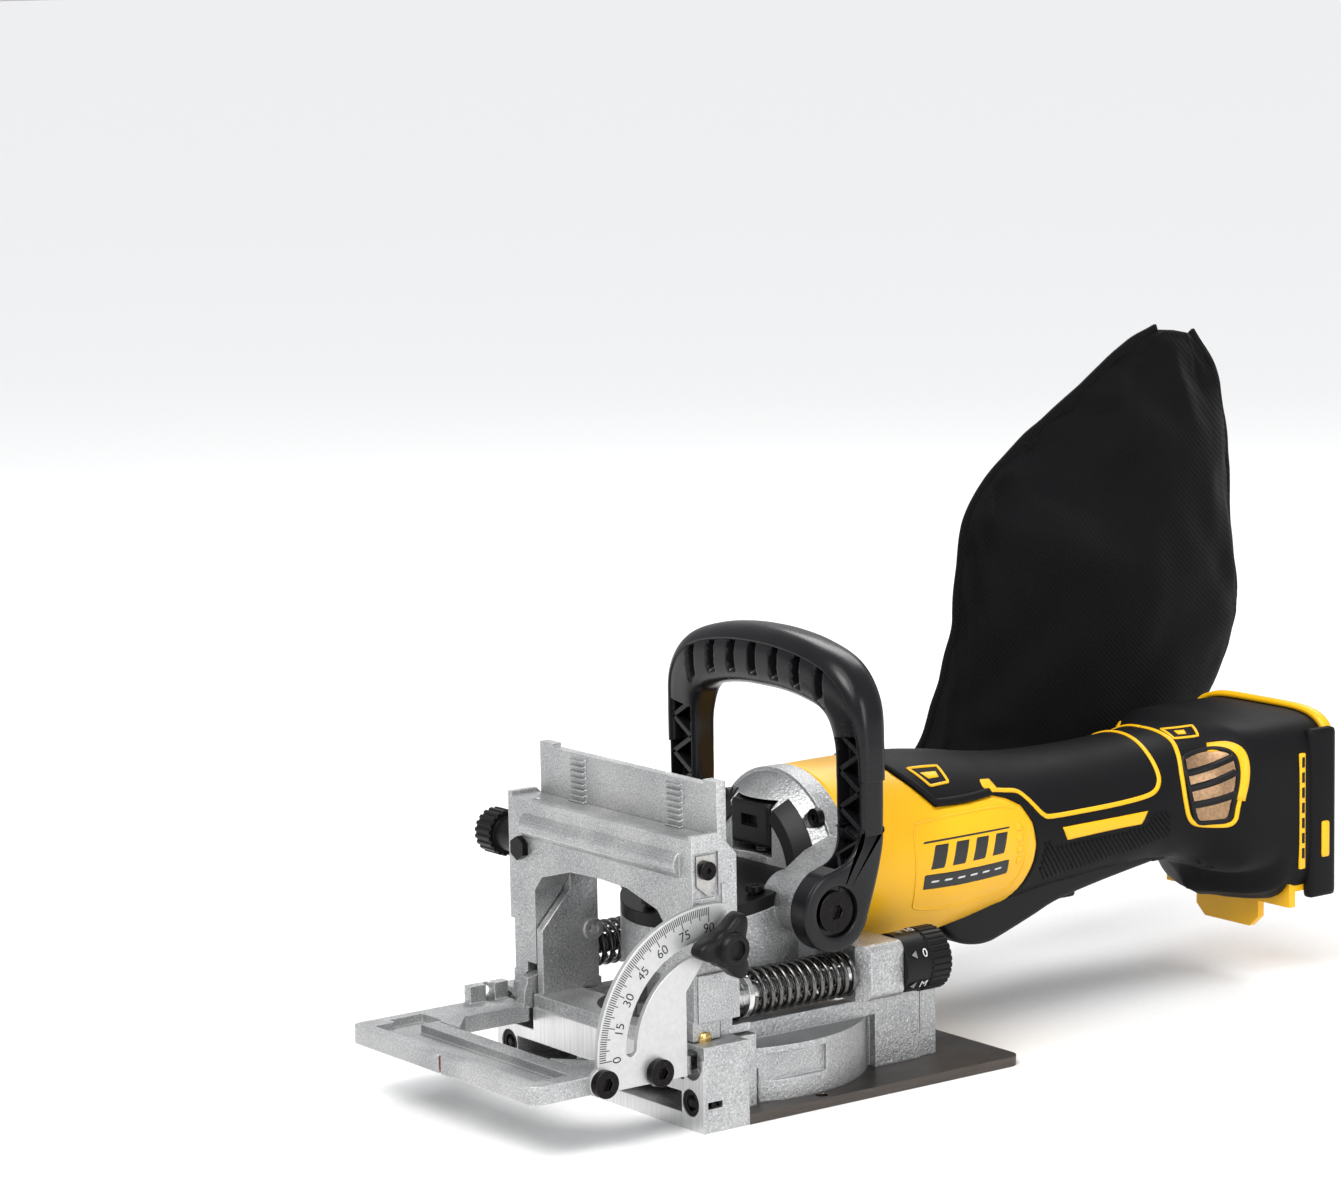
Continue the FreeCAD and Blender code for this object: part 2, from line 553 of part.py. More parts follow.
# ---------------------------------------------------------------- gear case
LID_SLOPE = 0.222
LID_THICK = 5.0
RING_FRONT = 84.0
RING_REAR = 92.0
RING_R = 37.0
CASE_R = 36.0
CASE_Y = 56.0
PLATE_LOW = 17.0
RING_SCREWS = [(27.0, 98.0), (-27.0, 98.0), (27.0, 54.0), (-27.0, 54.0)]


def lid_top(y):
    """Height of the sloping top of the gear case cover."""
    return 73.0 + (y - 46.2) * LID_SLOPE


plan = cyl("Z", CASE_R, 40, 90, (0, CASE_Y)).fuse(box(-34, 34, CASE_Y, RING_FRONT + 1, 40, 90))
front = CASE_Y - CASE_R
case_side = [(front - 1, 46.0), (front - 1, lid_top(front - 1) - LID_THICK),
             (RING_FRONT + 1, lid_top(RING_FRONT + 1) - LID_THICK), (RING_FRONT + 1, 40.0), (60.0, 40.0)]
bowl = prism("X", -40, 40, case_side).common(plan)
neck = cyl("Z", 24.0, PLATE_LOW, 50.0, (0, SPINDLE_Y))
slide_plate = box(-36.9, 36.9, 45.0, 103.5, PLATE_LOW, 21.5)
ring = fuse([
    cyl("Y", RING_R, RING_FRONT, RING_REAR, (0, BODY_Z)),
    cone("Y", 27.0, RING_R - 1.5, 73.0, RING_FRONT, (0, BODY_Z)),
])
arms = both([
    cyl("X", 11.0, 28.0, 51.7, (BOSS_Y, BOSS_Z)),
    prism("X", 28.0, 46.0, [(66.0, 80.5), (84.5, 92.0), (84.5, 60.0), (66.0, 60.0)]),
])
ear = box(38.0, 58.4, EAR_FRONT, EAR_REAR, 33.5, 54.5)
ear = round_edges(ear, 3.5, lambda e: runs_along("Y")(e) and e.Vertexes[0].X > 50)
ear = ear.cut(prism("Z", 30, 60, [(52.0, EAR_FRONT - 1), (60.0, EAR_FRONT - 1), (60.0, EAR_FRONT + 5)]))
webs = both([ear, box(24.0, 40.0, EAR_FRONT, RING_REAR, 34.0, 62.0)])
case = fuse([bowl, neck, slide_plate, ring] + arms + webs)
case = cut(case, [
    cyl("Z", 21.8, 52.0, 90.0, (0, SPINDLE_Y)),
    cyl("Z", 12.0, 22.0, 53.0, (0, SPINDLE_Y)),
    cyl("Z", 7.2, 10.0, 23.0, (0, SPINDLE_Y)),
    cyl("Y", 9.6, 55.0, 84.0, (0, MOTOR_Z)),
    cyl("Y", 5.2, 83.0, 95.0, (0, MOTOR_Z)),
    cyl("Y", 11.0, 85.5, 95.0, (0, MOTOR_Z)),
    box(-12.2, 12.2, 70.0, 86.6, 81.5, 103.0),
])
for side in both([cyl("Y", ROD_R + 0.05, 70, EAR_REAR + 1, (ROD_X, ROD_Z)),
                  cyl("X", 4.0, 34.0, 53.0, (BOSS_Y, BOSS_Z)),
                  ]):
    case = case.cut(side)
for x, z in RING_SCREWS:
    case = case.cut(cyl("Y", 1.85, 83.0, 93.0, (x, z))).cut(cyl("Y", 3.8, 76.0, RING_FRONT, (x, z)))
save("gear_case", case)

lid_side = [(front - 1, lid_top(front - 1) - LID_THICK), (front - 1, lid_top(front - 1)),
            (82.0, lid_top(82.0)), (82.0, lid_top(82.0) - LID_THICK)]
lid = prism("X", -40, 40, lid_side).common(plan)
lid = cut(lid, [cone("Y", 27.2, RING_R - 1.3, 73.0, RING_FRONT, (0, BODY_Z)),
                cyl("Y", 9.0, 55.0, 84.0, (0, MOTOR_Z)),
                cyl("Z", 2.2, 50, 90, (0, 26.0))])
for side in both([cyl("Z", 2.2, 50, 90, (29.0, 52.0)), cyl("X", 11.3, 27.0, 52.0, (BOSS_Y, BOSS_Z)),
                  prism("X", 27.8, 46.0, [(65.8, 81.0), (84.8, 92.2), (84.8, 59.8), (65.8, 59.8)])]):
    lid = lid.cut(side)
lid = max(lid.Solids, key=lambda s: s.Volume)
save("gear_case_cover", lid)

lid_screws = []
for x, y in ((0, 26.0), (29.0, 52.0), (-29.0, 52.0)):
    high = lid_top(y) + 0.9
    lid_screws.append(disc_screw("Z", 3.6, 2.2, 1.9, 3.2, high + 2.2, (x, y), sign=-1, socket=1.6))
for x, z in RING_SCREWS:
    lid_screws.append(disc_screw("Y", 3.6, 2.6, 1.8, 7.5, RING_FRONT - 2.7, (x, z), socket=1.6))
save("gear_case_screws", lid_screws)

button = box(-11.6, 11.6, 72.0, 86.0, 85.0, 101.6)
button = round_edges(button, 1.5, lambda e: True)
button = button.cut(box(-5.0, 5.0, 71.0, 75.0, 92.0, 96.5))
button = button.fuse(cyl("Z", 1.6, 84.2, 86.0, (0, 79.0)))
save("spindle_lock_button", button)
save("lock_spring", coil("Z", 3.0, 0.4, lid_top(79.0) + 1.2, 84.9, (0, 79.0), 3))

# ---------------------------------------------------------------- blade and spindle
outline = []
BLADE_TEETH = 6
for k in range(BLADE_TEETH):
    a = -360.0 / BLADE_TEETH * k
    for turn, radius in ((0, BLADE_R), (5, BLADE_R - 0.4), (13, 46.5), (42, 45.0), (50, 41.0), (57, 44.0)):
        t = math.radians(a - turn)
        outline.append((radius * math.cos(t), SPINDLE_Y + radius * math.sin(t)))
blade = prism("Z", BLADE_Z - 1.3, BLADE_Z + 1.3, outline)
tips = []
for k in range(BLADE_TEETH):
    tip = box(BLADE_R - 8.0, BLADE_R - 0.05, SPINDLE_Y - 2.4, SPINDLE_Y, BLADE_Z - 2, BLADE_Z + 2)
    tips.append(spun("Z", tip, 360.0 / BLADE_TEETH * k, (0, SPINDLE_Y)))
blade = blade.fuse(tips).removeSplitter().cut(cyl("Z", 11.0, 0, 20, (0, SPINDLE_Y)))
blade = blade.common(cyl("Z", BLADE_R, 0, 20, (0, SPINDLE_Y)))
save("blade", blade)
save("blade_flanges", [
    cyl("Z", 15.0, 11.35, 14.6, (0, SPINDLE_Y)).fuse(cyl("Z", 10.9, 8.9, 11.35, (0, SPINDLE_Y)))
    .cut(cyl("Z", 6.0, 5, 20, (0, SPINDLE_Y))),
    cyl("Z", 14.0, 5.4, 8.65, (0, SPINDLE_Y)).cut(cyl("Z", 4.0, 0, 20, (0, SPINDLE_Y)))
    .cut(cyl("Z", 8.2, 5.0, 7.6, (0, SPINDLE_Y))),
])
spindle = fuse([cyl("Z", 6.0, 8.9, 60.0, (0, SPINDLE_Y)), cyl("Z", 7.5, 36.0, 40.0, (0, SPINDLE_Y))])
save("spindle", spindle.cut(cyl("Z", 3.0, 8, 20, (0, SPINDLE_Y))))
save("blade_screw", disc_screw("Z", 7.8, 2.6, 3.0, 10.0, 4.95, (0, SPINDLE_Y), socket=2.6))


def ball_bearing(axis, bore, outer, start, end, pair):
    """Outer and inner ring with a shield between them, as one stack of touching rings."""
    third = (outer - bore) / 3
    inner = cyl(axis, bore + third, start, end, pair).cut(cyl(axis, bore, start - 1, end + 1, pair))
    rim = cyl(axis, outer, start, end, pair).cut(cyl(axis, outer - third, start - 1, end + 1, pair))
    shield = cyl(axis, outer - third, start + 0.8, end - 0.8, pair)
    shield = shield.cut(cyl(axis, bore + third, start - 1, end + 1, pair))
    return fuse([inner, rim, shield])


bearings = [ball_bearing("Z", 6.05, 12.0, low, low + 9, (0, SPINDLE_Y)) for low in (24.0, 42.0)]
APEX_Y = SPINDLE_Y
crown_low = MOTOR_Z - BEVEL_R - 6.0
crown_rim = MOTOR_Z - BEVEL_R - 1.2
crown = cyl("Z", CROWN_R + 1.5, crown_low, crown_rim, (0, SPINDLE_Y))
crown = crown.fuse(cone("Z", CROWN_R + 1.5, 10.0, crown_rim, crown_rim + 2.6, (0, SPINDLE_Y)))
spokes = []
for k in range(CROWN_TEETH):
    groove = cyl("X", 0.55, 11.0, 21.0, (SPINDLE_Y, MOTOR_Z - BEVEL_R + 0.4))
    spokes.append(spun("Z", groove, 360.0 / CROWN_TEETH * k, (0, SPINDLE_Y)))
crown = crown.cut(Part.makeCompound(spokes)).cut(cyl("Z", 6.0, 40, 80, (0, SPINDLE_Y)))
save("crown_gear", crown)

pinion = cone("Y", BEVEL_R * 0.62, BEVEL_R * 0.98, APEX_Y + 11.2, APEX_Y + 17.8, (0, MOTOR_Z))
flutes = []
for k in range(PINION_TEETH):
    t = 2 * math.pi * k / PINION_TEETH
    flutes.append(cyl("Y", 0.6, 60, 75, (6.2 * math.cos(t), MOTOR_Z + 6.2 * math.sin(t))))
pinion = pinion.cut(Part.makeCompound(flutes))
shaft = fuse([cyl("Y", 3.0, APEX_Y + 11.2, 96.0, (0, MOTOR_Z)), cyl("Y", 4.0, 94.5, 158.0, (0, MOTOR_Z))])
save("motor_shaft", pinion.fuse(shaft))
bearings += [ball_bearing("Y", 3.05, 11.0, 85.5, 92.5, (0, MOTOR_Z)),
             ball_bearing("Y", 4.05, 9.0, 152.0, 158.0, (0, MOTOR_Z))]
save("bearings", bearings)
fan = cyl("Y", 20.5, 104.0, 105.6, (0, MOTOR_Z)).fuse(cyl("Y", 6.5, 97.5, 104.0, (0, MOTOR_Z)))
for k in range(9):
    vane = box(5.5, 20.3, 98.0, 104.0, MOTOR_Z - 0.7, MOTOR_Z + 0.7)
    fan = fan.fuse(spun("Y", vane, 40.0 * k, (0, MOTOR_Z)))
save("cooling_fan", fan.cut(cyl("Y", 4.0, 90, 110, (0, MOTOR_Z))))
save("rotor", cyl("Y", 12.4, 113.0, 149.0, (0, MOTOR_Z)).cut(cyl("Y", 4.0, 100, 160, (0, MOTOR_Z))))
stator = cyl("Y", 23.5, 116.0, 146.0, (0, MOTOR_Z)).cut(cyl("Y", 13.0, 100, 160, (0, MOTOR_Z)))
for k in range(6):
    slot = box(15.0, 20.0, 110.0, 150.0, MOTOR_Z - 2.2, MOTOR_Z + 2.2)
    stator = stator.cut(spun("Y", slot, 60.0 * k, (0, MOTOR_Z)))
save("stator", stator)
windings = []
for k in range(6):
    loop = box(15.2, 19.8, 112.0, 150.0, MOTOR_Z - 2.0, MOTOR_Z + 2.0)
    windings.append(spun("Y", loop, 60.0 * k, (0, MOTOR_Z)))
save("windings", windings)

# ---------------------------------------------------------------- motor housing and handle tube
# sections across the body: station, height of centre, half width, half height, squareness
BODY = [
    (92.2, 76.0, 36.8, 36.8, 2.0), (118.0, 76.0, 37.0, 37.0, 2.0), (142.0, 76.0, 36.4, 36.4, 2.0),
    (162.0, 76.0, 34.0, 34.0, 2.0), (180.0, 76.0, 31.0, 31.0, 2.0), (200.0, 76.0, 28.9, 28.9, 2.0),
    (230.0, 76.0, 28.2, 28.2, 2.0), (254.0, 76.0, 28.8, 28.8, 2.1), (268.0, 75.8, 30.6, 29.6, 2.2),
    (280.0, 75.0, 34.0, 31.2, 2.6), (288.0, 73.8, 37.8, 34.0, 3.4), (294.0, 73.0, 39.6, 35.3, 4.4),
    (306.0, 72.5, 40.0, 35.5, 5.0), (324.0, 72.5, 40.0, 35.5, 5.0), (340.0, 72.5, 39.6, 35.2, 5.0),
]
SECTION_POINTS = 32
OVER_START = 178.0
OVER = 1.3


def section(y, z, half_x, half_z, square, inset):
    points = []
    for k in range(SECTION_POINTS):
        t = 2 * math.pi * k / SECTION_POINTS
        c, s = math.cos(t), math.sin(t)
        x = math.copysign(abs(c) ** (2.0 / square), c) * (half_x - inset)
        dz = math.copysign(abs(s) ** (2.0 / square), s) * (half_z - inset)
        points.append(Vector(x, y, z + dz))
    curve = Part.BSplineCurve()
    curve.interpolate(Points=points, PeriodicFlag=True)
    return Part.Wire(curve.toShape())


def body_solid(inset, first=0, last=len(BODY)):
    """The body as one smooth solid, drawn in all round by the inset."""
    return Part.makeLoft([section(*row, inset) for row in BODY[first:last]], True, False)


outer = body_solid(0)
mid = body_solid(OVER)
inner = body_solid(OVER + SHELL)
hollow = inner.common(box(-60, 60, 90, 312, 0, 150))
rail_room = box(-36.2, 36.2, 318.0, 341.0, 30.0, 101.0)
VENT_FRONT = 270.0
VENT_REAR = 287.0
vents = []
for k in range(4):
    high, front_end, rear_end = 91.0 - 6.4 * k, VENT_FRONT + 0.6 * k, VENT_REAR - 1.2 * k
    vents.append(prism("X", 20.0, 60.0, [(front_end, high), (rear_end, high + 0.5), (rear_end, high - 4.0),
                                         (front_end, high - 4.5)]))
slits = [box(36.0, 45.0, 319.5, 323.0, 42.0, 90.0), box(36.0, 45.0, 331.0, 336.0, 50.0, 66.0)]
openings = both(vents + slits)
saddle_side = [(OVER_START + 1, 84.0), (150.0, 92.0), (138.0, 100.0), (138.0, 120.0), (OVER_START + 1, 120.0)]
zone = fuse([box(-60, 60, OVER_START, 350, 0, 150), prism("X", -60, 60, saddle_side)])
# the pocket that the rear of the paddle turns in
pocket_side = [(248.0, 30.0), (248.0, 46.3), (262.0, 49.5), (262.8, 52.2), (283.8, 52.2), (283.8, 49.5),
               (291.0, 49.5), (291.0, 30.0)]
pocket = prism("X", -13.6, 13.6, pocket_side)
over = cut(outer.cut(mid).common(zone), [rail_room, pocket] + openings)
shell = cut(outer.cut(zone).fuse(mid), [hollow, rail_room, pocket] + openings)
shell = shell.cut(cyl("Y", 9.02, 151.8, 160.0, (0, MOTOR_Z)))
lip = prism("X", -34.0, 34.0, [(300.0, 106.5), (300.0, 109.6), (338.0, 109.6), (338.0, 106.5)]).cut(outer)
for name, x0, x1 in (("right", 0, 60), ("left", -60, 0)):
    half = box(x0, x1, 80, 360, 0, 150)
    piece = max(shell.common(half).Solids, key=lambda s: s.Volume)
    save("housing_" + name, piece)
    piece = max(over.common(half).Solids, key=lambda s: s.Volume)
    save("overmould_" + name, piece)
save("foot_trim", lip)

meshes = []
vent_skin = body_solid(OVER + SHELL + 0.1).cut(body_solid(OVER + SHELL + 0.6))
for side in both([box(15.0, 60.0, VENT_FRONT - 3, VENT_REAR + 2, 62.0, 95.0)]):
    meshes.append(vent_skin.common(side))
save("vent_mesh", meshes)

# the battery rails, terminals and electronics
rails = box(-36.0, 36.0, 318.2, 321.5, 30.2, 100.8)
tongue = [(-18.0, 31.0), (18.0, 31.0), (18.0, 23.5), (13.0, 19.0), (-13.0, 19.0), (-18.0, 23.5)]
rails = rails.fuse(prism("Y", 318.2, 321.5, tongue))
for side in both([box(26.0, 36.0, 321.5, 339.8, 36.5, 100.8)]):
    rails = rails.fuse(side)
for side in both([box(25.0, 31.0, 321.5, 333.5, 0, 96.0)]):
    rails = rails.cut(side)
save("battery_rails", rails.removeSplitter())
save("terminal_block", box(-17.0, 17.0, 321.6, 326.0, 76.0, 96.0))
save("terminals", [box(x - 0.5, x + 0.5, 326.0, 333.0, 79.0, 94.0) for x in (-12.0, -4.0, 4.0, 12.0)])
save("controller", fuse([box(-22.0, 22.0, 288.0, 309.0, 48.0, 96.0)]
                        + [box(x - 0.8, x + 0.8, 284.0, 288.0, 50.0, 94.0) for x in (-18, -9, 0, 9, 18)]))
save("switch", fuse([box(-8.0, 8.0, 216.0, 246.0, 56.0, 76.0), box(-3.0, 3.0, 222.0, 232.0, 54.5, 56.0)]))

# ---------------------------------------------------------------- paddle
paddle_top = [(168.5, 33.5), (174.0, 35.5), (184.0, 37.0), (205.0, 38.0), (232.0, 40.6), (258.0, 43.8),
              (279.0, 45.0)]
paddle_low = [(287.0, 44.5), (287.0, 38.5), (270.0, 40.5), (250.0, 37.0), (225.0, 31.8), (205.0, 28.8),
              (188.0, 27.5), (176.0, 29.0)]
paddle = prism("X", -13.0, 13.0, paddle_top + paddle_low)
paddle = round_edges(paddle, 2.0, lambda e: not runs_along("X")(e) and e.BoundBox.ZMax < 33.0)
HINGE_Z = 43.0
paddle = paddle.cut(box(-5.6, 5.6, 214.0, 236.0, 34.0, 60.0))
paddle = paddle.cut(box(-20, 20, 262.0, 288.0, 30.0, 60.0).cut(box(-9.0, 9.0, 260, 290, 30.0, 60.0)))
paddle = paddle.common(fuse([box(-20, 20, 160, 270, 0, 60), cyl("X", 7.0, -20, 20, (PADDLE_Y, HINGE_Z)),
                             box(-20, 20, 262, PADDLE_Y, HINGE_Z - 7, HINGE_Z + 4)]))
paddle = paddle.cut(cyl("X", 2.05, -20, 20, (PADDLE_Y, HINGE_Z)))
paddle = paddle.cut(cyl("X", 1.5, -20, 20, (225.0, 37.5)))
save("paddle", paddle)
save("paddle_pin", cyl("X", 2.0, -13.0, 13.0, (PADDLE_Y, HINGE_Z)))
lock_side = [(217.0, 35.6), (217.0, 41.3), (221.0, 42.4), (225.5, 41.8), (233.0, 41.6), (233.0, 35.6)]
lock_off = prism("X", -5.3, 5.3, lock_side)
save("lock_off_lever", lock_off.cut(cyl("X", 1.55, -20, 20, (225.0, 37.5))))
save("lock_off_pin", cyl("X", 1.5, -11.5, 11.5, (225.0, 37.5)))
bracket = fuse([box(-13.4, 13.4, 263.0, 283.5, 49.7, 52.0)]
               + both([box(10.0, 13.4, 276.0, 287.0, HINGE_Z - 5.0, 49.7)]))
save("paddle_bracket", bracket.cut(cyl("X", 2.0, -20, 20, (PADDLE_Y, HINGE_Z))))

# ---------------------------------------------------------------- D-handle
GRIP_LOW = 144.0
GRIP_TOP = 166.0
outer_bow = [(-HANDLE_HALF, 99.0), (-HANDLE_HALF, 133.0), (-57.5, 146.0), (-49.0, 156.0), (-36.0, 162.0),
             (-18.0, 165.4), (0.0, GRIP_TOP), (18.0, 165.4), (36.0, 162.0), (49.0, 156.0), (57.5, 146.0),
             (HANDLE_HALF, 133.0), (HANDLE_HALF, 99.0)]
inner_bow = [(43.0, 99.0), (43.0, 126.0), (39.5, 134.0), (31.0, 140.0), (16.0, 143.2), (0.0, GRIP_LOW),
             (-16.0, 143.2), (-31.0, 140.0), (-39.5, 134.0), (-43.0, 126.0), (-43.0, 99.0)]
bow = prism("Y", GRIP_Y - 6.0, GRIP_Y + 5.5, outer_bow + inner_bow)
grip_block = prism("Y", GRIP_Y - 9.5, GRIP_Y + 9.0, outer_bow + inner_bow)
grip_block = grip_block.common(box(-50, 50, 60, 110, 138, 170))
handle = bow.fuse(grip_block)
leg_side = [(78.0, 101.0), (89.5, 101.0), (89.5, 95.0), (80.5, 72.0), (70.0, 55.5), (60.0, 62.0),
            (60.5, 80.0), (70.0, 88.0)]
legs = both([
    prism("X", 52.0, 58.7, leg_side),
    prism("X", 46.0, 58.7, [(78.0, 106.0), (89.5, 106.0), (89.5, 95.0), (85.0, 86.0), (78.0, 92.0)]),
    cyl("X", BOSS_R, 52.0, 58.7, (BOSS_Y, BOSS_Z)),
])
handle = handle.fuse(legs).removeSplitter()
for k in range(7):
    x = -38.0 + 38.0 * k / 3
    low = GRIP_LOW + 2.0 - abs(x) ** 2 / 220.0
    handle = handle.cut(box(x - 1.9, x + 1.9, GRIP_Y - 10, GRIP_Y - 7.0, low, low + 13.5))
for side in both([cyl("X", 9.0, 56.0, 60, (BOSS_Y, BOSS_Z)), cyl("X", 4.05, 40, 60, (BOSS_Y, BOSS_Z)),
                  box(46.5, 57.0, GRIP_Y - 7, GRIP_Y - 1.5, 104.0, 134.0)]):
    handle = handle.cut(side)
trusses = []
for k in range(4):
    z0 = 104.0 + 7.5 * k
    step = 1 if k % 2 else -1
    a, b = (47.0, 56.5) if step > 0 else (56.5, 47.0)
    bar = [(a - 0.9, z0 - 0.5), (a + 0.9, z0 - 0.5), (b + 0.9, z0 + 8.0), (b - 0.9, z0 + 8.0)]
    trusses.append(prism("Y", GRIP_Y - 5.6, GRIP_Y - 1.0, bar))
handle = handle.fuse(both(trusses)).removeSplitter()
save("d_handle", handle)
bolt = disc_screw("X", 7.6, 2.6, 3.95, 20.0, 58.6, (BOSS_Y, BOSS_Z), sign=-1, socket=3.0)
save("handle_bolts", both([bolt]))

# ---------------------------------------------------------------- depth turret
spot = (ROD_X, ROD_Z)
turret = fuse([
    cyl("Y", TURRET_R - 0.6, EAR_REAR + 0.2, 110.0, spot),
    knurled("Y", TURRET_R, 110.0, TURRET_REAR - 1.2, spot, 30, 0.5),
    cone("Y", TURRET_R - 0.6, TURRET_R - 1.8, TURRET_REAR - 1.2, TURRET_REAR, spot),
])
turret = turret.cut(cyl("Y", 5.0, 90.0, 118.0, spot))
save("depth_turret", turret)

# ---------------------------------------------------------------- dust port and bag
def along_port(s):
    return PORT + PORT_DIR * s


def port_rod(radius, start, end):
    return Part.makeCylinder(radius, end - start, along_port(start), PORT_DIR)


LOW = Vector(PORT.x, 104.6, 17.6)
rise = PORT - LOW


def duct(wall):
    """The port's inside or outside, from the chamber wall up to its mouth."""
    return fuse([
        box(-60.0 - wall, -40.0, 99.0 - wall, 107.5 + wall, SOLE + 2.6 - wall, 15.5 + wall),
        Part.makeCylinder(9.0 + wall, rise.Length, LOW, rise),
        Part.makeSphere(9.0 + wall, LOW),
        Part.makeSphere(9.0 + wall + 1.5, PORT),
        port_rod(12.5 + wall, 3.0, 23.8),
        Part.makeCone(9.0 + wall, 12.5 + wall, 6.0, along_port(-3.0), PORT_DIR),
    ])


spout = duct(2.4).fuse(box(-46.5, -WALL_OUT - 0.1, 95.5, 111.5, SOLE + 0.1, 25.0))
spout = spout.cut(duct(0)).cut(port_rod(12.5, 3.0, 30.0))
spout = spout.cut(box(-WALL_OUT - 0.05, 0, 80, 130, 0, 40)).cut(box(-80, 0, 80, 130, -20, SOLE + 0.05))
for spot in SPOUT_SCREWS:
    spout = spout.cut(cyl("X", 1.6, -50, -40, spot)).cut(cyl("X", 3.0, -60, -46.4, spot))
save("dust_spout", max(spout.Solids, key=lambda s: s.Volume))
base_screws += [disc_screw("X", 2.8, 1.8, 1.5, 7.0, -48.2, spot, socket=1.3) for spot in SPOUT_SCREWS]
save("base_screws", base_screws)

COLLAR_R = 12.5 + 2.4 + 0.08
collar = port_rod(17.6, 9.0, 23.0).cut(port_rod(COLLAR_R, 0, 40))
collar = collar.fuse(port_rod(18.6, 21.0, 23.0).cut(port_rod(COLLAR_R, 0, 40)))
save("bag_collar", collar)
# the bag as chords across it: front upper end, rear lower end, centre across, half thickness
BAG = [
    ((140.4, 77.1), (157.6, 47.3), -60.0, 17.2), ((153.9, 85.2), (171.4, 54.9), -60.0, 17.5),
    ((178.0, 88.0), (205.0, 52.0), -62.0, 19.0), ((206.0, 92.0), (250.0, 56.0), -65.0, 20.5),
    ((222.0, 116.0), (300.0, 64.0), -68.0, 22.5), ((230.0, 138.0), (348.0, 84.0), -70.0, 24.0),
    ((236.0, 166.0), (376.0, 106.0), -71.0, 25.0), ((242.0, 188.0), (386.0, 140.0), -71.0, 24.0),
    ((262.0, 208.0), (387.5, 172.0), -72.0, 21.0), ((298.0, 230.0), (385.0, 208.0), -73.0, 16.0),
    ((328.0, 248.0), (380.0, 236.0), -74.0, 10.0), ((346.0, 255.0), (368.0, 252.0), -75.0, 4.5),
]


def bag_section(front_end, rear_end, x, half_x):
    """Points round an ellipse whose long axis is one chord of the bag's outline, closed on the first."""
    mid_y, mid_z = (front_end[0] + rear_end[0]) / 2, (front_end[1] + rear_end[1]) / 2
    half_y, half_z = (front_end[0] - rear_end[0]) / 2, (front_end[1] - rear_end[1]) / 2
    points = []
    for k in range(SECTION_POINTS):
        t = 2 * math.pi * k / SECTION_POINTS
        c, s = math.cos(t), math.sin(t)
        points.append(Vector(x + half_x * c, mid_y + half_y * s, mid_z + half_z * s))
    return points + [points[0]]


cloth = Part.BSplineSurface()
cloth.interpolate([bag_section(*row) for row in BAG])
skin = cloth.toShape()
bag_ends = [Part.Face(Part.Wire([edge])) for edge in skin.Edges if edge.isClosed()]
bag_shell = Part.makeShell([skin] + bag_ends)
bag_shell.sewShape()
save("dust_bag", Part.makeSolid(bag_shell.Shells[0]))
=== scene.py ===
import json
import math

import bmesh
import bpy
from mathutils import Matrix, Vector, noise


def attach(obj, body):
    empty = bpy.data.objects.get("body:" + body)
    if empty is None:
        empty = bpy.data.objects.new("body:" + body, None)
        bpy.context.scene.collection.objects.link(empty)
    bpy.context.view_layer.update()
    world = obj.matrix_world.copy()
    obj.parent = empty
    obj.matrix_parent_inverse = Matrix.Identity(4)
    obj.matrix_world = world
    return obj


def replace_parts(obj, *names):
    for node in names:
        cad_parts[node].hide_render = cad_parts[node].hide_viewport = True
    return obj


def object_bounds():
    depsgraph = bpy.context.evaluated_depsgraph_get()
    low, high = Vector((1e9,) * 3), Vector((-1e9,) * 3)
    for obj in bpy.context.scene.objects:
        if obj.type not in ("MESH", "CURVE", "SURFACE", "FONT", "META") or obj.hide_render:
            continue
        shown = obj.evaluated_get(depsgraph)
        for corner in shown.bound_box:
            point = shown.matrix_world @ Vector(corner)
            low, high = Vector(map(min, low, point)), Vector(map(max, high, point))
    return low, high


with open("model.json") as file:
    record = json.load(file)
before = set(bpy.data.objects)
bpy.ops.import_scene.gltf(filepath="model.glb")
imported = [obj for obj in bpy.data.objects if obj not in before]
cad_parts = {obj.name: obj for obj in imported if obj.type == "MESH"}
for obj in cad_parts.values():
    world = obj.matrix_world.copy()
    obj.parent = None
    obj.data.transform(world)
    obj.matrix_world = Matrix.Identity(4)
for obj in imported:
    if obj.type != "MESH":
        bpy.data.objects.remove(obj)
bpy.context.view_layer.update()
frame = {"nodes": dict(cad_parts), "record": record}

MM = 0.001
HALF_LENGTH = 75.0  # the row frame's origin is this far behind the base's front face
PIVOT = (6.5, 32.5)  # the fence's hinge: station and height

# ---------------------------------------------------------------- colours, linear
ALUMINIUM = (0.55, 0.55, 0.55)
ALUMINIUM_DARK = (0.36, 0.365, 0.37)
# the grain's bright flecks, the milled face, and the painted highlight on cast edges
ALUMINIUM_BRIGHT = (0.80, 0.80, 0.80)
ALUMINIUM_PIT = (0.20, 0.20, 0.205)
STEEL_BROWN = (0.115, 0.098, 0.088)
YELLOW = (0.88, 0.47, 0.008)
YELLOW_DEEP = (0.82, 0.425, 0.007)
BLACK = (0.0035, 0.0035, 0.004)
RUBBER = (0.0065, 0.0065, 0.007)
RED = (0.70, 0.02, 0.012)
CAST_GRAIN = 1500.0
CAST_DEPTH = 0.00022  # metres
EVEN = (1, 1, 1)


